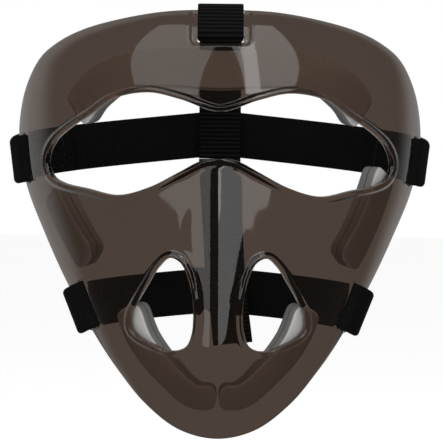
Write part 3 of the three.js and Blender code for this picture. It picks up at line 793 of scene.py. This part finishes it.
def makeSmokedShell():
    smoke = finishes["smoke"]
    material, tree, shader = newMaterial("smoked_shell", smoke, finishes["scratchRoughness"][0], **{
        "Transmission Weight": 1.0, "IOR": finishes["smokeIndex"], **finishes["gloss"],
    })
    place = addNode(tree, "ShaderNodeTexCoord").outputs["Object"]
    wear = setGroup(tree, makeWearGroup(), {"Vector": place})
    rough = remap(tree, wear["Scratches"], levels=finishes["scratchRoughness"])
    tree.links.new(rough, shader.inputs["Roughness"])
    drift = finishes["smokeDrift"]
    ends = [[part * (1 + change) for part in smoke] for change in (-drift, drift)]
    tree.links.new(blend(tree, wear["Swell"], *ends), shader.inputs["Base Color"])
    addBump(tree, shader, wear["Swell"], *finishes["swellBump"])
    return material


def makeFoam():
    material, tree, shader = newMaterial("foam", finishes["foamLight"], finishes["foamRoughness"])
    place = addNode(tree, "ShaderNodeTexCoord").outputs["Object"]
    cells = setGroup(tree, makeCellGroup(), {"Vector": place, "Cell": grains["foamCell"]})
    layer = addNode(tree, "ShaderNodeAttribute", attribute_name="layer").outputs["Fac"]
    fromSeam = calc(tree, "ABSOLUTE", calc(tree, "SUBTRACT", layer, finishes["seamLayer"]))
    seam = remap(tree, fromSeam, finishes["seamEnds"], (1.0, 0.0), "SMOOTHSTEP")
    # painted light: the front face behind the shell is made pale, to stand in for the light it lacks there
    skin = remap(tree, layer, finishes["frontPaintedLightEnds"], (1.0, 0.0), "SMOOTHSTEP")
    tone = blend(tree, cells["Shade"], finishes["foamDark"], finishes["foamLight"])
    tone = blend(tree, seam, tone, finishes["foamSeam"])
    tone = blend(tree, skin, tone, finishes["foamFrontPaintedLight"])
    tree.links.new(tone, shader.inputs["Base Color"])
    groove = calc(tree, "MULTIPLY", seam, finishes["seamDeep"])
    addBump(tree, shader, calc(tree, "SUBTRACT", cells["Height"], groove), *finishes["foamBump"])
    return material


# cloth or tape whose colour runs from dark to light with its weave or hooks: painted shade in the hollows
# and painted light on the yarns and hook tops, with random fibre tone; on its own map of length and width
def makeWoven(name, look, group, **values):
    material, tree, shader = newMaterial(name, look["light"], look["roughness"], **{
        "Specular IOR Level": finishes["clothSpecular"],
    })
    along = addNode(tree, "ShaderNodeUVMap", uv_map="weave").outputs[0]
    weave = setGroup(tree, group, {"Vector": along, **values})
    # the weave's Shade, or the hooks' height, paints the shade and light into the colour
    shade = weave["Shade"] if "Shade" in [output.name for output in weave] else weave["Height"]
    tree.links.new(blend(tree, shade, look["dark"], look["light"]), shader.inputs["Base Color"])
    rough = remap(tree, weave["Height"], levels=(finishes["hollowRoughness"], look["roughness"]))
    tree.links.new(rough, shader.inputs["Roughness"])
    addBump(tree, shader, weave["Height"], *look["bump"])
    return material


def makeThread():
    material, tree, shader = newMaterial("thread", finishes["threadLight"], finishes["threadRoughness"])
    place = addNode(tree, "ShaderNodeTexCoord").outputs["Object"]
    twist = addNode(tree, "ShaderNodeTexWave", {"Vector": place, **finishes["threadTwist"]},
                    bands_direction="DIAGONAL").outputs["Fac"]
    # painted shade: the twist's bands set the colour as they set the bump, darker in the grooves, lighter
    # on the ridges
    tone = blend(tree, twist, finishes["threadDark"], finishes["threadLight"])
    tree.links.new(tone, shader.inputs["Base Color"])
    addBump(tree, shader, twist, *finishes["threadBump"])
    return material


smokedShell = makeSmokedShell()
foam = makeFoam()
thread = makeThread()
twill = makeTwillGroup()
elastic = makeWoven("elastic", finishes["elastic"], twill,
                    Angle=grains["twillTurn"], Pitch=grains["twillPitch"])
elasticTab = makeWoven("elastic_tab", finishes["elastic"], twill,
                       Angle=grains["tabTurn"], Pitch=grains["tabPitch"])
webbing = makeWoven("webbing", finishes["webbing"], makeTickGroup(),
                    **{"Rib Pitch": grains["ribPitch"], "Yarn Pitch": grains["yarnPitch"]})
hookTape = makeWoven("hook_tape", finishes["hook"], makeHookGroup(), Pitch=grains["hookPitch"])
print("materials made")

face = addShell(smokedShell)
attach(face, "mask")
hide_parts("face_shell")
face.visible_shadow = False         # the lamps reach the foam behind the clear shell
print("shell made,", len(face.data.polygons), "faces")


# Foam pads, die cut and stuck to the inside of the shell

pads = {
    "thick": 12,
    "crown": 1.5,
    "draw": 1.2,
    "corner": 6,
    "gap": 0.6,
    "edge": 2.2,
    "rows": 110,
    "around": 64,
    "squareness": 9,
    "brow": 11.5,
    "cheek": 11.5,
    "jaw": 10.5,
    "jawChinShare": 0.7,
    "browShares": [[0, 0.57], [0.26, 0.59], [0.48, 0.54], [0.62, 0.42], [0.715, 0.25]],
    "aheadStep": 0.3,
    "finePerSpan": 60,
    "cheekShares": {
        "right": [[0.835, -0.068], [0.785, -0.18], [0.715, -0.3], [0.64, -0.395]],
        "left": [[0.845, -0.15], [0.8, -0.22], [0.73, -0.31], [0.655, -0.395]],
    },
    "jawShares": [[0.455, -0.552], [0.385, -0.675], [0.25, -0.785], [0.12, -0.857], [0, -0.857]],
}


def loftFaces(rows, around):
    faces = []
    for row in range(rows - 1):
        for step in range(around):
            following = (step + 1) % around
            faces.append((row * around + step, row * around + following,
                          (row + 1) * around + following, (row + 1) * around + step))
    last = (rows - 1) * around
    faces.append(tuple(reversed(range(around))))
    faces.append(tuple(range(last, last + around)))
    return faces


# turns a closed mesh's faces outwards, by its volume
def faceOut(points, faces):
    volume = 0
    for face in faces:
        a = points[face[0]]
        for second, third in zip(face[1:], face[2:]):
            volume += a @ np.cross(points[second], points[third])
    return faces if volume > 0 else [tuple(reversed(face)) for face in faces]


def addPad(name, node, line, halfWidth, endHalfWidth):
    spans = len(line) - 1
    dense = curveAt(line, np.linspace(0, spans, spans * pads["finePerSpan"] + 1))
    lengths = lengthAlong(dense)
    length = lengths[-1]
    share = (1 - np.cos(np.pi * np.linspace(0, 1, pads["rows"]))) / 2
    middle = np.column_stack([np.interp(share * length, lengths, column) for column in dense.T])
    tangent = unit(np.gradient(middle, axis=0))
    nextSpot = middle + tangent * pads["aheadStep"]
    ahead = surfaceAt(nextSpot[:, 0], nextSpot[:, 1])
    along = unit(ahead - surfaceAt(middle[:, 0], middle[:, 1]))
    across = unit(np.cross(along, normalAt(middle[:, 0], middle[:, 1])))
    toEnd = np.minimum(share, 1 - share) * length

    def rounding(radius):
        return radius - np.sqrt(radius ** 2 - np.clip(radius - toEnd, 0, radius) ** 2)

    inset = rounding(pads["edge"])
    reach = halfWidth + (endHalfWidth - halfWidth) * share - rounding(pads["corner"])
    turn = np.linspace(0, 2 * np.pi, pads["around"], endpoint=False)
    power = 2 / pads["squareness"]
    wide = np.sign(np.cos(turn)) * np.abs(np.cos(turn)) ** power
    deep = np.sign(np.sin(turn)) * np.abs(np.sin(turn)) ** power
    back = (deep + 1) / 2
    width = wide * ((reach - inset)[:, None] - pads["draw"] * back)
    bulge = pads["crown"] * (1 - wide ** 2) * np.sin(np.pi * share)[:, None] * back
    thick = pads["thick"] - pads["crown"]
    depth = inset[:, None] + back * (thick - 2 * inset)[:, None] + bulge
    x = middle[:, :1] + across[:, :1] * width
    z = middle[:, 1:] + across[:, 2:] * width
    points = surfaceAt(x, z) - normalAt(x, z) * (shell["wall"] + pads["gap"] + depth)[..., None]
    points = points.reshape(-1, 3)
    faces = faceOut(points, loftFaces(pads["rows"], pads["around"]))
    pad = makeMesh(name, points, faces, foam)
    layer = pad.data.attributes.new("layer", "FLOAT", "POINT")
    layer.data.foreach_set("value", np.tile(back, pads["rows"]))
    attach(pad, "mask")
    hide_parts(node)
    return pad


def padLine(shares, side=1):
    across, height = np.array(shares, float).T
    return np.column_stack([side * across * shell["halfWidth"], heightOf(height)])


browRight, browLeft = padLine(pads["browShares"]), padLine(pads["browShares"], -1)
addPad("brow_foam_pad", "brow_pad", np.vstack([browLeft[:0:-1], browRight]), pads["brow"], pads["brow"])
for side, label in ((-1, "left"), (1, "right")):
    cheekLine = padLine(pads["cheekShares"][label], side)
    addPad(label + "_cheek_foam_pad", label + "_cheek_pad", cheekLine, pads["cheek"], pads["cheek"])
    jawLine = padLine(pads["jawShares"], side)
    jawLine[-1, 0] = side * pads["gap"]
    chinHalf = pads["jaw"] * pads["jawChinShare"]
    addPad(label + "_jaw_foam_pad", label + "_jaw_pad", jawLine, pads["jaw"], chinHalf)
print("pads made")


# Straps: a path is its places with the direction of the width at each

straps = {
    "wide": 27,
    "thick": 1.6,
    "standOff": 2.8,
    "under": 1.8,
    "past": 6,
    "outerEndShare": 0.9,
    "runStops": 6,
    "untwistStops": 4,
    "tabLeadIn": 3,
    "tabLeadSteps": 3,
    "tabJoinSteps": 4,
    "framesPerStop": 4,
    "layerGap": 0.4,
    "hookThick": 1.4,
    "hookInset": 2,
    "pieceGap": 0.3,
    "headBack": 80,
    "headBackRise": 14,
    "headTabStops": 2.75,
    "jawBack": 84,
    "jawBackDrop": 80.5,
    "jawTabStops": 2,
    "finePerStop": 20,
    "tabFinePerStop": 8,
    "tapeSteps": 90,
    "bendSteps": 12,
    "backRigid": 5,
    "edgeRound": 0.7,
    "edgeTurns": [60, 30, 0, -30, -60],
    "columns": 16,
    "foldNarrow": 0.17,       # share of the width that a fold's corners lose
    "foldReach": 3.5,
    "loopShares": [[0.6, -1], [0.2, -0.85], [0, 0], [0.2, 0.65], [0.65, 1], [1.05, 1.15]],
}
straps["layerStep"] = straps["thick"] + straps["hookThick"] + 2 * straps["layerGap"]

up = np.array([0, 0, 1.0])
right = np.array([1.0, 0, 0])


# places, widths and outward directions along a path, moved straight on by a length
def framesAt(path, stops, shift=0):
    knots, wide = path
    last = len(knots) - 1
    stops = np.asarray(stops, float)
    ahead = curveAt(knots, np.minimum(stops + tangentStep, last))
    tangent = unit(ahead - curveAt(knots, np.maximum(stops - tangentStep, 0)))
    across = curveAt(wide, stops, pull=0)
    across = unit(across - tangent * np.sum(across * tangent, axis=1, keepdims=True))
    return curveAt(knots, stops) + tangent * shift, across, np.cross(tangent, across)


def turnOver(frames):
    return tuple(part * np.array([-1, 1, 1]) for part in frames)


# flat band with rounded edges; its weave map is length and width in metres
def addBand(name, frames, width, thick, material, offset=0, ribs=None, narrow=None):
    place, wide, flat = frames
    half, edge = width / 2, min(straps["edgeRound"], thick / 2)
    columns = straps["columns"] if ribs is None else crown["columns"]
    across = np.linspace(half - edge, edge - half, columns)
    turn = np.radians(straps["edgeTurns"])
    cap = np.column_stack([half - edge + edge * np.cos(turn), np.sin(turn)])
    section = np.vstack([
        np.column_stack([across[::-1], np.ones(columns)]), cap,
        np.column_stack([across, -np.ones(columns)]), cap * (-1, -1),
    ])
    length = lengthAlong(place)
    rise = np.full(len(place), thick / 2) if ribs is None else ribs(length, thick / 2)
    share = np.ones(len(place)) if narrow is None else narrow(place, length)
    points = (place[:, None] + wide[:, None] * section[None, :, :1] * share[:, None, None]
              + flat[:, None] * (offset + section[None, :, 1:] * rise[:, None, None]))
    rows, around = points.shape[:2]
    points = points.reshape(-1, 3)
    faces = faceOut(points, loftFaces(rows, around))
    band = makeMesh(name, points, faces, material)
    weave = np.stack([np.broadcast_to(length[:, None], (rows, around)),
                      np.broadcast_to(section[:, 0], (rows, around))], axis=-1).reshape(-1, 2) * mm
    corners = np.zeros(len(band.data.loops), int)
    band.data.loops.foreach_get("vertex_index", corners)
    layer = band.data.uv_layers.new(name="weave")
    layer.data.foreach_set("uv", weave[corners].ravel())
    return band


def elasticPath(slot, backY, backZ):
    outer = straps["thick"] / 2 + straps["standOff"]
    inner = shell["wall"] + straps["under"] + straps["thick"] / 2
    end = 1 + straps["past"] / slot["inset"]
    places = [fromSlot(slot, end, -inner)]
    for toRim, rise in straps["loopShares"]:
        height = rise * outer if rise > 0 else rise * inner - (shell["wall"] / 2 if rise == 0 else 0)
        places.append(fromSlot(slot, toRim, height))
    outerEnd = fromSlot(slot, end, outer * straps["outerEndShare"])
    places.append(outerEnd)
    wides = [slot["along"]] * len(places)
    loopEnd = len(places) - 1
    for stop in range(1, straps["runStops"] + 1):
        share = stop / straps["runStops"]
        angle = share * math.pi / 2
        places.append(np.array([
            outerEnd[0] * math.cos(angle),
            outerEnd[1] + (backY - outerEnd[1]) * math.sin(angle),
            outerEnd[2] + (backZ - outerEnd[2]) * share,
        ]))
        untwist = min(1, stop / straps["untwistStops"])
        wides.append(unit(slot["along"] * (1 - untwist) + up * untwist))
    return (np.array(places), np.array(wides)), loopEnd


# the corners of a fold draw in where it reaches furthest out
def foldWidths(place, length):
    share = np.ones(len(place))
    for fold in (np.argmax(place[:, 0]), np.argmin(place[:, 0])):
        apart = (length - length[fold]) / straps["foldReach"]
        share -= straps["foldNarrow"] * np.exp(-apart ** 2 / 2)
    return share


def tabPath(path, loopEnd, tabStops):
    leadIns = straps["tabLeadIn"] * np.linspace(0, 1, straps["tabLeadSteps"])
    firsts = [framesAt(path, [0], -straps["pieceGap"] - leadIn) for leadIn in leadIns]
    apartAtStart = np.linalg.norm(firsts[0][0] - framesAt(path, [loopEnd])[0]) - straps["pieceGap"]
    places = [first[0][0] for first in firsts]
    wides = [first[1][0] for first in firsts]
    for step in range(straps["tabJoinSteps"], round(tabStops * straps["framesPerStop"]) + 1):
        stop = step / straps["framesPerStop"]
        place, wide, flat = framesAt(path, [loopEnd + stop])
        apart = apartAtStart + (straps["layerStep"] - apartAtStart) * smooth(stop)
        places.append(place[0] - flat[0] * apart)
        wides.append(wide[0])
    return np.array(places), np.array(wides)


stitches = {
    "long": 2.3,
    "pitch": 3.1,
    "radius": 0.28,
    "inset": 3.6,
    "sink": 0.07,
    "sides": 8,
    "bevelShare": 0.7,
    "dipShare": 0.35,         # how far a stitch's ends dip into the band
}


def stitchShape():
    bpy.ops.object.select_all(action="DESELECT")
    bpy.ops.mesh.primitive_cylinder_add(vertices=stitches["sides"], radius=stitches["radius"],
                                        depth=stitches["long"], rotation=(0, math.pi / 2, 0))
    bpy.ops.object.transform_apply(location=True, rotation=True, scale=True)
    bpy.ops.object.mode_set(mode="EDIT")
    bpy.ops.mesh.select_all(action="SELECT")
    bpy.ops.mesh.bevel(offset=stitches["radius"] * stitches["bevelShare"], segments=2, affect="EDGES")
    bpy.ops.object.mode_set(mode="OBJECT")
    shape = bpy.context.object
    points = np.array([tuple(v.co) for v in shape.data.vertices])
    faces = [tuple(polygon.vertices) for polygon in shape.data.polygons]
    bpy.data.objects.remove(shape)
    points[:, 2] -= stitches["dipShare"] * stitches["radius"] * (points[:, 0] / (stitches["long"] / 2)) ** 2
    return points, faces


stitchPoints, stitchFaces = stitchShape()


# one mesh of stitches: each has a place, a direction along and a direction out
def addStitches(name, places, alongs, outs, body):
    points, faces = [], []
    for place, along, out in zip(places, alongs, outs):
        side = np.cross(out, along)
        start = len(points) * len(stitchPoints)
        points.append(place + stitchPoints @ np.array([along, side, out]))
        faces.extend(tuple(start + corner for corner in face) for face in stitchFaces)
    piece = makeMesh(name, np.vstack(points), faces, thread)
    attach(piece, body)
    return piece


# rows of stitches round a stretch of band, on one of its faces: places, directions along and out
def stitchRound(path, stops, width, rise):
    place, wide, flat = framesAt(path, stops)
    length = lengthAlong(place)
    tangent = unit(np.gradient(place, axis=0))
    first, last = stitches["inset"], length[-1] - stitches["inset"]
    edge, pitch = width / 2 - stitches["inset"], stitches["pitch"]
    rows = []

    def addStitch(at, shift, isAcross):
        middle, across, out, along = (
            np.array([np.interp(at, length, part[:, k]) for k in range(3)])
            for part in (place, wide, flat, tangent)
        )
        rows.append((middle + across * shift + out * rise, unit(across if isAcross else along),
                     unit(out) * math.copysign(1, rise)))

    for side in (-1, 1):
        for at in np.arange(first, last, pitch):
            addStitch(at, edge * side, False)
    for at in (first, last):
        for shift in np.arange(-edge + pitch, edge - pitch / 2, pitch):
            addStitch(at, shift, True)
    return list(zip(*rows))


def addElastic(name, slot, backY, backZ, tabStops):
    path, loopEnd = elasticPath(slot, backY, backZ)
    last = len(path[0]) - 1
    rightHalf = framesAt(path, np.linspace(0, last, last * straps["finePerStop"] + 1))
    rightHalf[1][-1] = up
    leftHalf = turnOver(tuple(part[-2::-1] for part in rightHalf))
    whole = tuple(np.vstack(parts) for parts in zip(rightHalf, leftHalf))
    strap = addBand(name + "_elastic_strap", whole, straps["wide"], straps["thick"], elastic,
                    narrow=foldWidths)
    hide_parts(name + "_strap_back", *(
        f"{side}_{name}_strap_{layer}" for side in ("left", "right") for layer in ("loop", "side")
    ))
    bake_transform(strap)
    tab = tabPath(path, loopEnd, tabStops)
    tabLast = len(tab[0]) - 1
    tabFrames = framesAt(tab, np.linspace(0, tabLast, tabLast * straps["tabFinePerStop"] + 1))
    tapeStart = loopEnd + (straps["tabJoinSteps"] + 1) / straps["framesPerStop"]
    tapeStops = np.linspace(tapeStart, loopEnd + tabStops, straps["tapeSteps"])
    place, wide, flat = framesAt(path, tapeStops)
    toEnd = np.linalg.norm(place - place[-1], axis=1)
    kept = toEnd > straps["hookInset"]
    tapeFrames = (place[kept], wide[kept], flat[kept])
    tapeWide = straps["wide"] - 2 * straps["hookInset"]
    for side, frames, tape in (
        ("right", tabFrames, tapeFrames),
        ("left", turnOver(tabFrames), turnOver(tapeFrames)),
    ):
        body = f"{side}_{name}_tab"
        band = addBand(f"{side}_{name}_elastic_tab", frames, straps["wide"], straps["thick"], elasticTab)
        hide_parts(f"{side}_{name}_strap_tab")
        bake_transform(band)
        hooks = addBand(f"{side}_{name}_closing_tape", tape, tapeWide, straps["hookThick"], hookTape,
                        offset=-straps["layerStep"] / 2)
        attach(hooks, body)
        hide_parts(f"{side}_{name}_hook_tape")
    rise = -straps["layerStep"] - straps["thick"] / 2 + stitches["sink"]
    rows = stitchRound(path, tapeStops[kept], straps["wide"], rise)
    addStitches(f"right_{name}_tab_stitches", *rows, f"right_{name}_tab")
    turned = [[part * np.array([-1, 1, 1]) for part in parts] for parts in rows]
    addStitches(f"left_{name}_tab_stitches", *turned, f"left_{name}_tab")


addElastic("head", headSlot, straps["headBack"], straps["headBackRise"], straps["headTabStops"])
addElastic("jaw", jawSlot, straps["jawBack"], -straps["jawBackDrop"], straps["jawTabStops"])
print("elastic straps made")


# Crown strap: grosgrain webbing with raised ribs, and its hanging tail

crown = {
    "wide": 25,
    "thick": 1.5,
    "standOff": 0.8,
    "under": 1.6,
    "fold": 2.6,
    "topShare": 1.15,
    "turnShare": 1.6,
    "loopBack": 34,
    "archRise": 82,
    "tailDrop": 113,
    "tailDrift": 8.5,
    "tailCurl": 0.2,
    "ribPitch": 2.5,
    "ribDeepShare": 0.42,
    "ribRound": 0.6,
    "finePerRib": 8,
    "searchSteps": 4000,
    "columns": 12,
    "underFolds": 3,          # how long the loop's inner end runs straight, in folds
    "tapeSteps": 40,
    "tapeGaps": 3,            # gaps between the head strap and its tape
    "tapeShares": [1, 0.33, -0.33, -1],
    "backRigid": 9,
    "swingBend": 14,
    "loopShares": [[0.73, -1], [0.4, -1], [0.1, -0.9], [0, 0], [0.1, 0.8], [0.5, 1], [0.97, 1.1]],
    "runShares": [[-0.06, 1], [0.31, 0.975], [0.62, 0.83], [0.82, 0.61], [0.925, 0.4]],
    "tailShares": [0, 0.25, 0.5, 0.75, 1],
}


def crownRibs(length, half):
    wave = np.abs(np.sin(np.pi * length / crown["ribPitch"])) ** crown["ribRound"]
    return half * (1 - crown["ribDeepShare"] * (1 - wave))


# stops that step evenly along a path, fine enough for its ribs
def ribStops(path, last):
    fine = np.linspace(0, last, crown["searchSteps"])
    lengths = lengthAlong(curveAt(path[0], fine))
    count = int(lengths[-1] / crown["ribPitch"] * crown["finePerRib"])
    return np.interp(np.linspace(0, lengths[-1], count + 1), lengths, fine)


def crownAt(y, z):
    return np.array([0.0, y, z])


outerRise = crown["standOff"] + crown["thick"] / 2
innerRise = shell["wall"] + crown["under"] + crown["thick"] / 2
topRun = crownSlot["rim"][2] + crown["fold"] * crown["topShare"]
underRun = topRun - crown["thick"] - straps["layerGap"]
tapeGap = crown["tapeGaps"] * straps["layerGap"]
tapeY = straps["headBack"] - straps["thick"] / 2 - tapeGap - straps["hookThick"] / 2
rearY = tapeY - straps["hookThick"] / 2 - straps["layerGap"] - crown["thick"] / 2
rearEnd = straps["headBackRise"] - straps["wide"] / 2 - straps["hookInset"]
underY = -crown["loopBack"] - crown["underFolds"] * crown["fold"]
crownPlaces = [crownAt(-crown["loopBack"], underRun), crownAt(underY, underRun - crown["fold"] / 2)]
for toRim, rise in crown["loopShares"]:
    height = rise * outerRise if rise > 0 else rise * innerRise - (shell["wall"] / 2 if rise == 0 else 0)
    crownPlaces.append(fromSlot(crownSlot, toRim, height))
crownPlaces += [
    crownAt(crownSlot["rim"][1] + crown["fold"] * crown["turnShare"], crownSlot["rim"][2] + crown["fold"]),
    crownAt(-crown["loopBack"], topRun),
    *(crownAt(back * straps["headBack"], rise * crown["archRise"]) for back, rise in crown["runShares"]),
    crownAt(rearY, straps["headBackRise"]),
    crownAt(rearY, rearEnd),
]
crownPath = (np.array(crownPlaces), np.repeat(right[None], len(crownPlaces), axis=0))
crownBand = addBand("crown_webbing_strap", framesAt(crownPath, ribStops(crownPath, len(crownPlaces) - 1)),
                    crown["wide"], crown["thick"], webbing, ribs=crownRibs)
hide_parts("crown_strap_loop", "crown_strap_top", "crown_strap_rear")
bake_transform(crownBand)

tailShares = np.array(crown["tailShares"])
tailPath = (
    np.column_stack([
        crown["tailDrift"] * tailShares ** 2,
        np.full(len(tailShares), rearY),
        rearEnd + (-crown["tailDrop"] - rearEnd) * tailShares,
    ]),
    np.column_stack([
        np.cos(crown["tailCurl"] * tailShares ** 3),
        -np.sin(crown["tailCurl"] * tailShares ** 3),
        np.zeros(len(tailShares)),
    ]),
)
tailBand = addBand("crown_webbing_tail", framesAt(tailPath, ribStops(tailPath, len(tailShares) - 1)),
                   crown["wide"], crown["thick"], webbing, ribs=crownRibs)
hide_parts("crown_strap_tail")
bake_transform(tailBand)

tapeHalf = straps["wide"] / 2 - straps["hookInset"]
tapeRises = straps["headBackRise"] + tapeHalf * np.array(crown["tapeShares"])
tapeKnots = np.array([crownAt(tapeY, rise) for rise in tapeRises])
crownTapePath = (tapeKnots, np.repeat(right[None], len(tapeKnots), axis=0))
crownTapeStops = np.linspace(0, len(tapeKnots) - 1, crown["tapeSteps"])
crownTape = addBand("crown_closing_tape", framesAt(crownTapePath, crownTapeStops),
                    crown["wide"] - 2 * straps["hookInset"], straps["hookThick"], hookTape)
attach(crownTape, "head_harness")
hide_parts("crown_hook_tape")

tack = {
    "wide": 20,
    "long": 3,
    "rows": 3,
    "rowShare": 1 / 2.6,
    "stepShare": 0.8,
    "rise": 0.1,
    "slant": 0.35,
    "endRoom": 1,
    "behindFolds": 2,
}
tackPlaces, tackAlongs, tackOuts = [], [], []
tackY = tack["long"] - crown["loopBack"] - crown["fold"] * tack["behindFolds"]
for row in range(tack["rows"]):
    y = tackY + (row - 1) * tack["long"] * tack["rowShare"]
    start, end = tack["endRoom"] - tack["wide"] / 2, tack["wide"] / 2
    for x in np.arange(start, end, stitches["long"] * tack["stepShare"]):
        tackPlaces.append(np.array([x, y, topRun + crown["thick"] / 2 + tack["rise"]]))
        tackAlongs.append(unit(np.array([1, tack["slant"] * (-1) ** row, 0])))
        tackOuts.append(up)
tackPiece = addStitches("crown_bar_tack", tackPlaces, tackAlongs, tackOuts, "mask")
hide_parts("crown_loop_tack")
print("crown strap made")


# Studio: softboxes, a pale world and floor, and the photograph's viewpoint

studio = {
    "floorZ": -0.3,
    "floorHalf": 40,
    "floorGlow": 0.6,
    "floorTone": (0.82, 0.82, 0.82),
    "floorRoughness": 0.9,
    "cameraAt": (0.0014, -1.302, -0.0393),
    "cameraTurn": (90, -0.5, 0),
    "cameraLens": 186.3,
    "fill": 0.45,
    "glassLevel": 0.14,
    "frontGlow": 0.03,
    "backGlow": 0.4,
    "glowTurns": [(-104, -126), (118, 138)],      # where the glow rises, to either side
    "softboxes": [
        # name, place, aimed at, size across and up, power, whether the shell mirrors it
        ("left_softbox", (-0.62, -1.28, 0.82), (0, -0.06, 0), (0.98, 2.6), 8.4, True),
        ("right_softbox", (0.56, -1.31, 0.82), (0, -0.06, 0), (0.74, 2.6), 8.6, True),
        ("strip_softbox", (0.307, -1.292, 0.889), (0, -0.06, 0), (0.17, 1.2), 1.4, True),
        ("top_softbox", (0, -0.1, 1.2), (0, 0, 0), (1.1, 0.9), 3.2, False),
    ],
}


def addSoftbox(name, place, target, size, power, isMirrored):
    bpy.ops.object.light_add(type="AREA", location=place)
    lamp = bpy.context.object
    lamp.name = name
    lamp.data.shape = "RECTANGLE"
    lamp.data.size, lamp.data.size_y = size
    lamp.data.energy = power
    lamp.rotation_euler = (Vector(target) - Vector(place)).to_track_quat("-Z", "Y").to_euler()
    lamp.visible_camera = False
    lamp.visible_transmission = False
    lamp.visible_glossy = isMirrored


for softbox in studio["softboxes"]:
    addSoftbox(*softbox)


# pale walls behind the object and dark ones before it, as its gloss mirrors them
def makeGlowGroup():
    tree, given = newGroup("studioGlow", [], ["Level"])
    split = addNode(tree, "ShaderNodeSeparateXYZ", {0: given["Vector"]}).outputs
    turn = calc(tree, "ARCTAN2", split["X"], calc(tree, "MULTIPLY", split["Y"], -1.0))
    sides = [remap(tree, turn, [math.radians(end) for end in ends], shape="SMOOTHSTEP")
             for ends in studio["glowTurns"]]
    rise = calc(tree, "MULTIPLY", calc(tree, "ADD", *sides), studio["backGlow"] - studio["frontGlow"])
    return closeGroup(tree, Level=calc(tree, "ADD", rise, studio["frontGlow"]))


studioGlow = makeGlowGroup()


# rays that come from the camera through the shell, and not those that light what is behind it
def addSeenThrough(tree, rays):
    isDirect = calc(tree, "LESS_THAN", rays["Diffuse Depth"], 0.5)      # no matt bounce yet
    return calc(tree, "MULTIPLY", rays["Is Transmission Ray"], isDirect)


def makeWorld():
    world = bpy.data.worlds.new("studio")
    world.use_nodes = True
    bpy.context.scene.world = world
    tree = world.node_tree
    rays = addNode(tree, "ShaderNodeLightPath").outputs
    around = addNode(tree, "ShaderNodeTexCoord").outputs["Generated"]
    glow = setGroup(tree, studioGlow, {"Vector": around})["Level"]
    isThrough = addSeenThrough(tree, rays)
    level = studio["fill"]
    for isSeen, value in (
        (rays["Is Glossy Ray"], glow),
        (isThrough, studio["glassLevel"]),
        (rays["Is Camera Ray"], 1.0),
    ):
        level = between(tree, isSeen, level, value)
    background = tree.nodes["Background"]
    background.inputs["Color"].default_value = (1, 1, 1, 1)
    tree.links.new(level, background.inputs["Strength"])


makeWorld()


# the floor's own shading to the camera, and the world's plain level to what the shell shows
def makeFloorMaterial():
    material, tree, shader = newMaterial("pale_floor", studio["floorTone"], studio["floorRoughness"])
    rays = addNode(tree, "ShaderNodeLightPath").outputs
    glow = calc(tree, "MULTIPLY", rays["Is Camera Ray"], studio["floorGlow"])
    shader.inputs["Emission Color"].default_value = (1, 1, 1, 1)
    tree.links.new(glow, shader.inputs["Emission Strength"])
    place = addNode(tree, "ShaderNodeNewGeometry").outputs["Position"]
    glow = setGroup(tree, studioGlow, {"Vector": place})["Level"]
    isThrough = addSeenThrough(tree, rays)
    strength = between(tree, isThrough, glow, studio["glassLevel"])
    level = addNode(tree, "ShaderNodeEmission", {"Strength": strength})
    isSeenInShell = calc(tree, "MAXIMUM", isThrough, rays["Is Glossy Ray"])
    seen = addNode(tree, "ShaderNodeMixShader", {0: isSeenInShell})
    tree.links.new(shader.outputs[0], seen.inputs[1])
    tree.links.new(level.outputs[0], seen.inputs[2])
    tree.links.new(seen.outputs[0], tree.nodes["Material Output"].inputs["Surface"])
    return material


bpy.ops.mesh.primitive_plane_add(size=2 * studio["floorHalf"], location=(0, 0, studio["floorZ"]))
floor = bpy.context.object
floor.name = "floor"
floor.data.materials.append(makeFloorMaterial())

cameraTurn = [math.radians(angle) for angle in studio["cameraTurn"]]
bpy.ops.object.camera_add(location=studio["cameraAt"], rotation=cameraTurn)
camera = bpy.context.object
camera.data.lens = studio["cameraLens"]
bpy.context.scene.camera = camera
bpy.context.scene.view_settings.view_transform = "Standard"
print("studio made")
